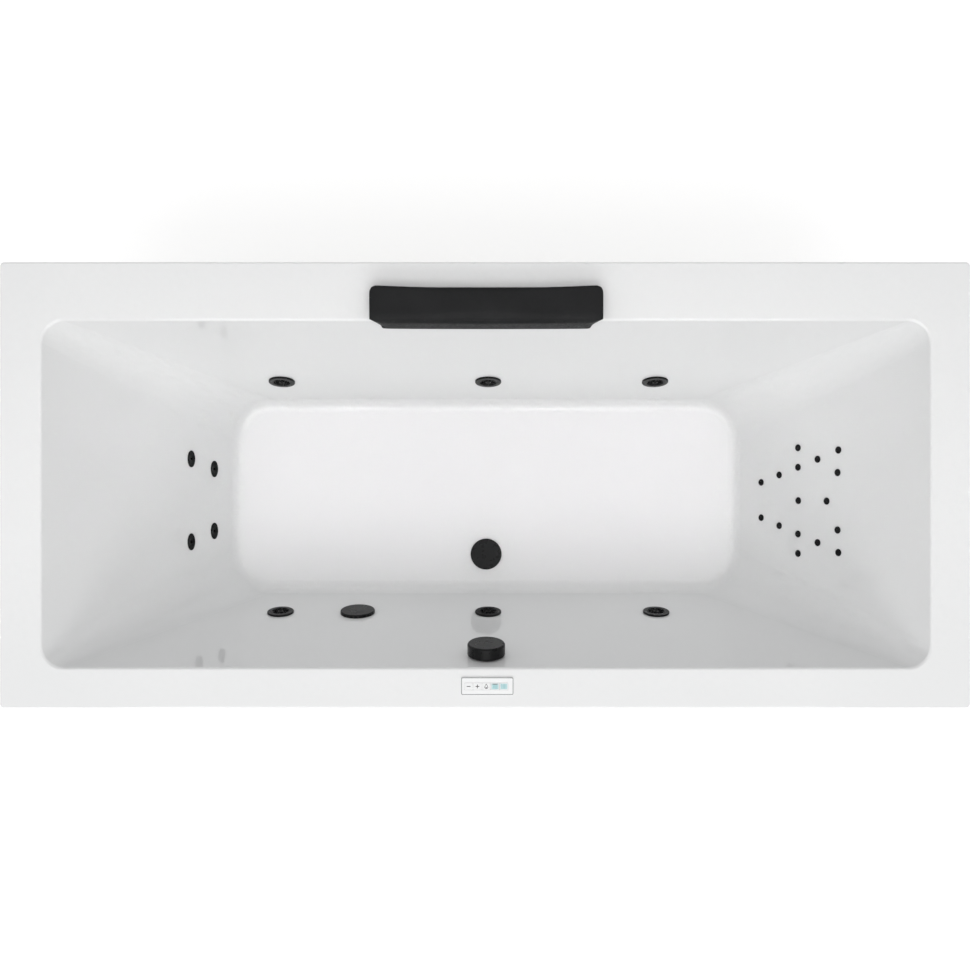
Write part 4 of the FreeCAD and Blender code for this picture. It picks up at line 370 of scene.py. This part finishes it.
def lathe(points, steps, centre):
    """A closed turned form about a vertical axis, from (radius, height) points."""
    made = bmesh.new()
    rows = []
    for radius, height in points:
        if radius < 1e-7:
            rows.append([made.verts.new((centre[0], centre[1], height))])
            continue
        rows.append([
            made.verts.new((
                centre[0] + radius * math.cos(2 * math.pi * i / steps),
                centre[1] + radius * math.sin(2 * math.pi * i / steps),
                height,
            ))
            for i in range(steps)
        ])
    for lower, upper in zip(rows, rows[1:]):
        for i in range(steps):
            j = (i + 1) % steps
            if len(lower) == 1:
                made.faces.new((lower[0], upper[j], upper[i]))
            elif len(upper) == 1:
                made.faces.new((lower[i], lower[j], upper[0]))
            else:
                made.faces.new((lower[i], lower[j], upper[j], upper[i]))
    return made


# ---- levelling feet ----
PAD_RADIUS = 0.028
PAD_HEIGHT = 0.014
STUD_RADIUS = 0.006
THREAD_PITCH = 0.00175
THREAD_DEPTH = 0.0009
THREAD_STEPS = 24
THREAD_ROWS_PER_TURN = 6
TIP_STEEPNESS = 1.2
PAD_STEPS = 64


def foot(name):
    """A round rubber pad with a threaded stud."""
    low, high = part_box("levelling_foot_" + name)
    centre = ((low[0] + high[0]) / 2, (low[1] + high[1]) / 2)
    body = "foot_" + name
    pad = lathe([
        (0.0, 0.0),
        (PAD_RADIUS - 0.0015, 0.0),
        (PAD_RADIUS - 0.0004, 0.0004),
        (PAD_RADIUS, 0.0015),
        (PAD_RADIUS, PAD_HEIGHT * 0.30),
        (PAD_RADIUS - 0.0008, PAD_HEIGHT * 0.40),
        (PAD_RADIUS - 0.004, PAD_HEIGHT * 0.52),
        (STUD_RADIUS * 2 + 0.002, PAD_HEIGHT * 0.9),
        (STUD_RADIUS * 2, PAD_HEIGHT - 0.0004),
        (STUD_RADIUS * 2 - 0.001, PAD_HEIGHT),
        (0.0, PAD_HEIGHT),
    ], PAD_STEPS, centre)
    pad_piece = finish_piece("foot_pad_" + name, pad, RUBBER, body)
    stud = threaded_rod(centre, PAD_HEIGHT - 0.003, high[2])
    stud_piece = finish_piece("foot_stud_" + name, stud, MATERIALS["zinc_steel"], body, 1.2)
    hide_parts("levelling_foot_" + name)
    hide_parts("levelling_foot_" + name)


def threaded_rod(centre, low, high):
    """A rod whose surface rises and falls along a screw line, with a chamfered tip."""
    steps = THREAD_STEPS
    rows = int((high - low) / THREAD_PITCH * THREAD_ROWS_PER_TURN)
    made = bmesh.new()
    grid = []
    for row in range(rows + 1):
        height = low + (high - low) * row / rows
        tip = min(1.0, (high - height) / (2 * THREAD_DEPTH))
        ring = []
        for i in range(steps):
            turn = i / steps
            phase = (row / THREAD_ROWS_PER_TURN - turn) % 1.0
            groove = abs(2 * phase - 1)
            radius = STUD_RADIUS - THREAD_DEPTH * groove
            radius = min(radius, STUD_RADIUS - THREAD_DEPTH * (1 - tip) * TIP_STEEPNESS)
            angle = 2 * math.pi * turn
            ring.append(made.verts.new((
                centre[0] + radius * math.cos(angle),
                centre[1] + radius * math.sin(angle),
                height,
            )))
        grid.append(ring)
    for lower, upper in zip(grid, grid[1:]):
        for i in range(steps):
            j = (i + 1) % steps
            made.faces.new((lower[i], lower[j], upper[j], upper[i]))
    made.faces.new(list(reversed(grid[0])))
    made.faces.new(grid[-1])
    return made


# ---- headrest ----
HEADREST_SHRINK = 0.0028
HEADREST_CAP = 0.0026
HEADREST_VOXEL = 0.004
WELD_DISTANCE = 0.00005
FOAM_PRESSURE = 4.0
FOAM_STRETCH = 40.0
FOAM_BEND = 6.0
FOAM_FRAMES = 20
DECK_GAP = 0.0003


def headrest():
    """The moulded foam headrest: a crowned block with soft edges and a lip."""
    source = NODES["headrest_cushion"]
    mesh = source.data.copy()
    piece = bpy.data.objects.new("headrest_pad", mesh)
    bpy.context.scene.collection.objects.link(piece)
    made = bmesh.new()
    made.from_mesh(mesh)
    bmesh.ops.remove_doubles(made, verts=made.verts, dist=WELD_DISTANCE)
    made.to_mesh(mesh)
    made.free()
    remesh(piece, HEADREST_VOXEL)
    shrink(piece, HEADREST_SHRINK)
    start = [vertex.co.copy() for vertex in piece.data.vertices]
    inflate(piece)
    cap(piece, start, HEADREST_CAP)
    smooth(piece)
    keep_clear(piece)
    piece.data.materials.clear()
    piece.data.materials.append(MATERIALS["headrest_skin"])
    for polygon in piece.data.polygons:
        polygon.use_smooth = True
    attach(piece, "headrest")
    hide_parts("headrest_cushion")


def apply_modifier(piece, modifier):
    bpy.context.view_layer.objects.active = piece
    for other in bpy.context.selected_objects:
        other.select_set(False)
    piece.select_set(True)
    bpy.ops.object.modifier_apply(modifier=modifier.name)


def remesh(piece, voxel):
    modifier = piece.modifiers.new("remesh", "REMESH")
    modifier.mode = "VOXEL"
    modifier.voxel_size = voxel
    apply_modifier(piece, modifier)


def shrink(piece, distance):
    """Moves the surface in a little, so that the foam has room to swell."""
    modifier = piece.modifiers.new("shrink", "DISPLACE")
    modifier.strength = -distance
    modifier.mid_level = 0.0
    apply_modifier(piece, modifier)


def inflate(piece):
    """The foam pushes its skin out, as a short cloth simulation under pressure."""
    scene = bpy.context.scene
    modifier = piece.modifiers.new("foam", "CLOTH")
    settings = modifier.settings
    settings.use_pressure = True
    settings.uniform_pressure_force = FOAM_PRESSURE
    settings.tension_stiffness = FOAM_STRETCH
    settings.compression_stiffness = FOAM_STRETCH
    settings.bending_stiffness = FOAM_BEND
    settings.effector_weights.gravity = 0.0
    modifier.point_cache.frame_start = 1
    modifier.point_cache.frame_end = FOAM_FRAMES
    for step in range(1, FOAM_FRAMES + 1):
        scene.frame_set(step)
    apply_modifier(piece, modifier)
    scene.frame_set(1)


def cap(piece, start, limit):
    """No point moves further than the limit."""
    for vertex, before in zip(piece.data.vertices, start):
        move = vertex.co - before
        if move.length > limit:
            vertex.co = before + move.normalized() * limit


def smooth(piece):
    settle = piece.modifiers.new("settle", "SMOOTH")
    settle.factor = 0.5
    settle.iterations = 4
    apply_modifier(piece, settle)
    finer = piece.modifiers.new("finer", "SUBSURF")
    finer.levels = 1
    finer.render_levels = 1
    apply_modifier(piece, finer)


def keep_clear(piece):
    """Flat where it lies on the deck, and clear of the wall behind the lip."""
    low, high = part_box("headrest_cushion")
    _, _, rim, run = WALL_PLANES[3]
    for vertex in piece.data.vertices:
        co = vertex.co
        wall = rim - run * (RIM_Z - co.z) / BASIN_DEPTH
        if co.z < RIM_Z + DECK_GAP:
            if co.y > rim:
                co.z = RIM_Z + DECK_GAP
            elif co.y > wall - DECK_GAP:
                co.y = wall - DECK_GAP
        for axis in range(3):
            co[axis] = min(max(co[axis], low[axis]), high[axis])


# ---- keypad ----
KEY_GAP = 0.00002
INK_HEIGHT = 0.00008
TINT_MARGIN_X = 0.0012
TINT_MARGIN_Y = 0.0011
TINT_CORNER = 0.0008
SIGN_LENGTH = 0.0072
SIGN_WIDTH = 0.0014
PLUS_ARM = 0.0029
PLUS_ARM_OFFSET = 0.00215
FLASK_DROP = 0.0012
FLASK_OUTSIDE = (0.0034, 0.0062)
FLASK_INSIDE = (0.0023, 0.0047)
LEVEL_DROP = 0.0022
LEVEL_SIZE = (0.0028, 0.0012)
STREAM_COUNT = 4
AIR_FIRST = 0.0022
AIR_STEP = 0.0022
AIR_SIZE = (0.0098, 0.0009)
AIR_TOP = 0.0043
AIR_TOP_SIZE = (0.0098, 0.0012)
WATER_FIRST = 0.0039
WATER_STEP = 0.0026
WATER_SIZE = (0.001, 0.0088)
LINE_MARGIN = 0.0003
LINE_WIDTH = 0.0011
LINE_OUTER_CORNER = 0.0023
LINE_INNER_CORNER = 0.0016


def prism(points, bottom, top):
    """A flat raised shape from its outline."""
    made = bmesh.new()
    lower = [made.verts.new((x, y, bottom)) for x, y in points]
    upper = [made.verts.new((x, y, top)) for x, y in points]
    made.faces.new(list(reversed(lower)))
    made.faces.new(upper)
    count = len(points)
    for i in range(count):
        j = (i + 1) % count
        made.faces.new((lower[i], lower[j], upper[j], upper[i]))
    return made


def merged(prisms):
    """Several bmeshes as one."""
    made = prisms[0]
    for other in prisms[1:]:
        mesh = bpy.data.meshes.new("part")
        other.to_mesh(mesh)
        other.free()
        made.from_mesh(mesh)
        bpy.data.meshes.remove(mesh)
    return made


def bar(centre, size, bottom, top):
    x, y = centre
    dx, dy = size[0] / 2, size[1] / 2
    return prism([(x - dx, y - dy), (x + dx, y - dy), (x + dx, y + dy), (x - dx, y + dy)], bottom, top)


def band(outer, inner, bottom, top):
    """A raised line between two outlines with the same number of points."""
    made = bmesh.new()
    rings = []
    for height in (bottom, top):
        for points in (outer, inner):
            rings.append([made.verts.new((x, y, height)) for x, y in points])
    low_out, low_in, up_out, up_in = rings
    count = len(outer)
    for i in range(count):
        j = (i + 1) % count
        made.faces.new((up_out[i], up_out[j], up_in[j], up_in[i]))
        made.faces.new((low_out[j], low_out[i], low_in[i], low_in[j]))
        made.faces.new((low_out[i], low_out[j], up_out[j], up_out[i]))
        made.faces.new((low_in[j], low_in[i], up_in[i], up_in[j]))
    return made


def drop_outline(centre, radius, height, steps=28):
    """A flask's or drop's outline: round below, drawn up to a neck."""
    points = []
    for i in range(steps):
        angle = -math.pi / 2 + 2 * math.pi * i / steps
        x = radius * math.cos(angle)
        y = radius * math.sin(angle)
        if y > 0:
            lift = y / radius
            x *= 1 - 0.55 * lift
            y *= height / radius
        points.append((centre[0] + x, centre[1] + y))
    return points


def rounded(low, high, radius, steps=6):
    """The outline of a rectangle with round corners."""
    points = []
    corners = (
        (high[0] - radius, high[1] - radius, 0.0),
        (low[0] + radius, high[1] - radius, 0.5),
        (low[0] + radius, low[1] + radius, 1.0),
        (high[0] - radius, low[1] + radius, 1.5),
    )
    for x, y, start in corners:
        for i in range(steps + 1):
            angle = math.pi * (start + 0.5 * i / steps)
            points.append((x + radius * math.cos(angle), y + radius * math.sin(angle)))
    return points


def key_marks():
    """The plain signs on the five keys."""
    for name in BUTTONS:
        low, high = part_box("button_" + name)
        centre = ((low[0] + high[0]) / 2, (low[1] + high[1]) / 2)
        bottom = high[2] + KEY_GAP
        top = bottom + INK_HEIGHT
        body = "button_" + name

        def mark(label, shapes, ink):
            finish_piece("mark_" + name + "_" + label, merged(shapes), INK_AND_SHADE_PAINT[ink], body)

        if name in ("minus", "plus"):
            shapes = [bar(centre, (SIGN_LENGTH, SIGN_WIDTH), bottom, top)]
            if name == "plus":
                for side in (-1, 1):
                    place = (centre[0], centre[1] + side * PLUS_ARM_OFFSET)
                    shapes.append(bar(place, (SIGN_WIDTH, PLUS_ARM), bottom, top))
            mark("sign", shapes, "dark")
        elif name == "clean":
            place = (centre[0], centre[1] - FLASK_DROP)
            outer = drop_outline(place, *FLASK_OUTSIDE)
            inner = drop_outline(place, *FLASK_INSIDE)
            mark("flask", [band(outer, inner, bottom, top)], "dark")
            mark("level", [bar((centre[0], centre[1] - LEVEL_DROP), LEVEL_SIZE, bottom, top)], "dark")
        else:
            tint = rounded(
                (low[0] + TINT_MARGIN_X, low[1] + TINT_MARGIN_Y),
                (high[0] - TINT_MARGIN_X, high[1] - TINT_MARGIN_Y),
                TINT_CORNER,
            )
            mark("tint", [prism(tint, bottom - KEY_GAP / 2, bottom + INK_HEIGHT / 4)], "pale_teal")
            bars = []
            for i in range(STREAM_COUNT):
                if name == "air":
                    place = (centre[0], centre[1] + AIR_FIRST - AIR_STEP * i)
                    bars.append(bar(place, AIR_SIZE, bottom, top))
                else:
                    place = (centre[0] - WATER_FIRST + WATER_STEP * i, centre[1])
                    bars.append(bar(place, WATER_SIZE, bottom, top))
            mark("lines", bars, "teal")
            if name == "air":
                mark("top", [bar((centre[0], centre[1] + AIR_TOP), AIR_TOP_SIZE, bottom, top)], "dark")


def keypad_edge_shade():
    """A thin grey line of painted shade round the keypad's face, where its raised edge falls into shade.
    """
    low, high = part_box("keypad_body")
    inset = LINE_MARGIN + LINE_WIDTH
    outer = rounded(
        (low[0] + LINE_MARGIN, low[1] + LINE_MARGIN),
        (high[0] - LINE_MARGIN, high[1] - LINE_MARGIN),
        LINE_OUTER_CORNER,
    )
    inner = rounded(
        (low[0] + inset, low[1] + inset),
        (high[0] - inset, high[1] - inset),
        LINE_INNER_CORNER,
    )
    line = band(outer, inner, high[2] + KEY_GAP, high[2] + KEY_GAP + INK_HEIGHT)
    finish_piece("keypad_edge_shade", line, INK_AND_SHADE_PAINT["line"], "tub")


# ---- camera, light and floor ----
CAMERA_HEIGHT = 2.62
FRAME_PIXELS = 970
PIXELS_PER_RADIAN = 1049.3
SENSOR = 36.0
FLOOR_SIZE = 30.0
FLOOR_DROP = 0.0005
FLOOR_GREY = (0.6, 0.6, 0.6, 1.0)
FLOOR_GLOW = 0.62
WORLD_LIGHT = 0.47
OPEN_SPREAD = 180.0
LIT_POINT = (0.0, 0.0, 0.3)
BASIN_POINT = (0.0, 0.07, 0.3)
BASIN_SPREAD = 7.0


def camera():
    data = bpy.data.cameras.new("camera")
    data.sensor_width = SENSOR
    data.lens = PIXELS_PER_RADIAN / FRAME_PIXELS * SENSOR
    made = bpy.data.objects.new("camera", data)
    made.location = (0.0, 0.0, CAMERA_HEIGHT)
    made.rotation_euler = (0.0, 0.0, 0.0)
    bpy.context.scene.collection.objects.link(made)
    bpy.context.scene.camera = made


def lamp(name, place, target, size, power, spread=OPEN_SPREAD):
    """A soft box; one with a narrow spread only lifts the shade it is aimed at."""
    data = bpy.data.lights.new(name, "AREA")
    data.shape = "RECTANGLE"
    data.size, data.size_y = size
    data.energy = power
    data.spread = math.radians(spread)
    made = bpy.data.objects.new(name, data)
    made.location = place
    made.rotation_euler = (Vector(target) - Vector(place)).to_track_quat("-Z", "Y").to_euler()
    made.visible_glossy = spread >= OPEN_SPREAD
    bpy.context.scene.collection.objects.link(made)


def white_for_camera(tree, lit_shader, strength):
    """Adds plain white for what the camera or a reflection sees."""
    path = tree.nodes.new("ShaderNodeLightPath")
    seen = tree.nodes.new("ShaderNodeMath")
    seen.operation = "MAXIMUM"
    tree.links.new(path.outputs["Is Camera Ray"], seen.inputs[0])
    tree.links.new(path.outputs["Is Glossy Ray"], seen.inputs[1])
    through = tree.nodes.new("ShaderNodeMath")
    through.operation = "MAXIMUM"
    tree.links.new(seen.outputs[0], through.inputs[0])
    tree.links.new(path.outputs["Is Transmission Ray"], through.inputs[1])
    glow = tree.nodes.new("ShaderNodeEmission")
    amount = tree.nodes.new("ShaderNodeMath")
    amount.operation = "MULTIPLY"
    tree.links.new(through.outputs[0], amount.inputs[0])
    amount.inputs[1].default_value = strength
    tree.links.new(amount.outputs[0], glow.inputs["Strength"])
    both = tree.nodes.new("ShaderNodeAddShader")
    tree.links.new(lit_shader, both.inputs[0])
    tree.links.new(glow.outputs[0], both.inputs[1])
    return both.outputs[0]


def floor():
    made = bmesh.new()
    bmesh.ops.create_grid(made, x_segments=2, y_segments=2, size=FLOOR_SIZE)
    mesh = bpy.data.meshes.new("studio_floor")
    made.to_mesh(mesh)
    made.free()
    plane = bpy.data.objects.new("studio_floor", mesh)
    plane.location.z = -FLOOR_DROP
    bpy.context.scene.collection.objects.link(plane)
    material = bpy.data.materials.new("studio_floor")
    material.use_nodes = True
    tree = material.node_tree
    shader = tree.nodes["Principled BSDF"]
    shader.inputs["Base Color"].default_value = FLOOR_GREY
    shader.inputs["Roughness"].default_value = 0.9
    shader.inputs["Specular IOR Level"].default_value = 0.1
    out = tree.nodes["Material Output"]
    tree.links.new(white_for_camera(tree, shader.outputs[0], FLOOR_GLOW), out.inputs["Surface"])
    mesh.materials.append(material)


def world():
    made = bpy.data.worlds.new("studio")
    bpy.context.scene.world = made
    made.use_nodes = True
    tree = made.node_tree
    back = tree.nodes["Background"]
    back.inputs["Color"].default_value = (1.0, 1.0, 1.0, 1.0)
    path = tree.nodes.new("ShaderNodeLightPath")
    level = tree.nodes.new("ShaderNodeMapRange")
    level.inputs["To Min"].default_value = WORLD_LIGHT
    level.inputs["To Max"].default_value = 1.0
    tree.links.new(path.outputs["Is Camera Ray"], level.inputs["Value"])
    tree.links.new(level.outputs[0], back.inputs["Strength"])


def lights():
    lamp("key", (0.0, -3.4, 7.6), LIT_POINT, (6.0, 2.4), 134.0)
    lamp("top", (0.0, 0.0, 7.6), LIT_POINT, (9.0, 4.4), 106.0)
    lamp("front", (0.0, -6.0, 4.6), LIT_POINT, (6.0, 2.4), 136.0)
    lamp("basin", (0.0, -0.6, 7.6), BASIN_POINT, (1.6, 0.3), 0.45, BASIN_SPREAD)


dress_nodes()
for foot_name in ("front_left", "front_right", "rear_left", "rear_right"):
    foot(foot_name)
headrest()
key_marks()
keypad_edge_shade()
camera()
lights()
world()
floor()
scene = bpy.context.scene
scene.view_settings.view_transform = "Standard"
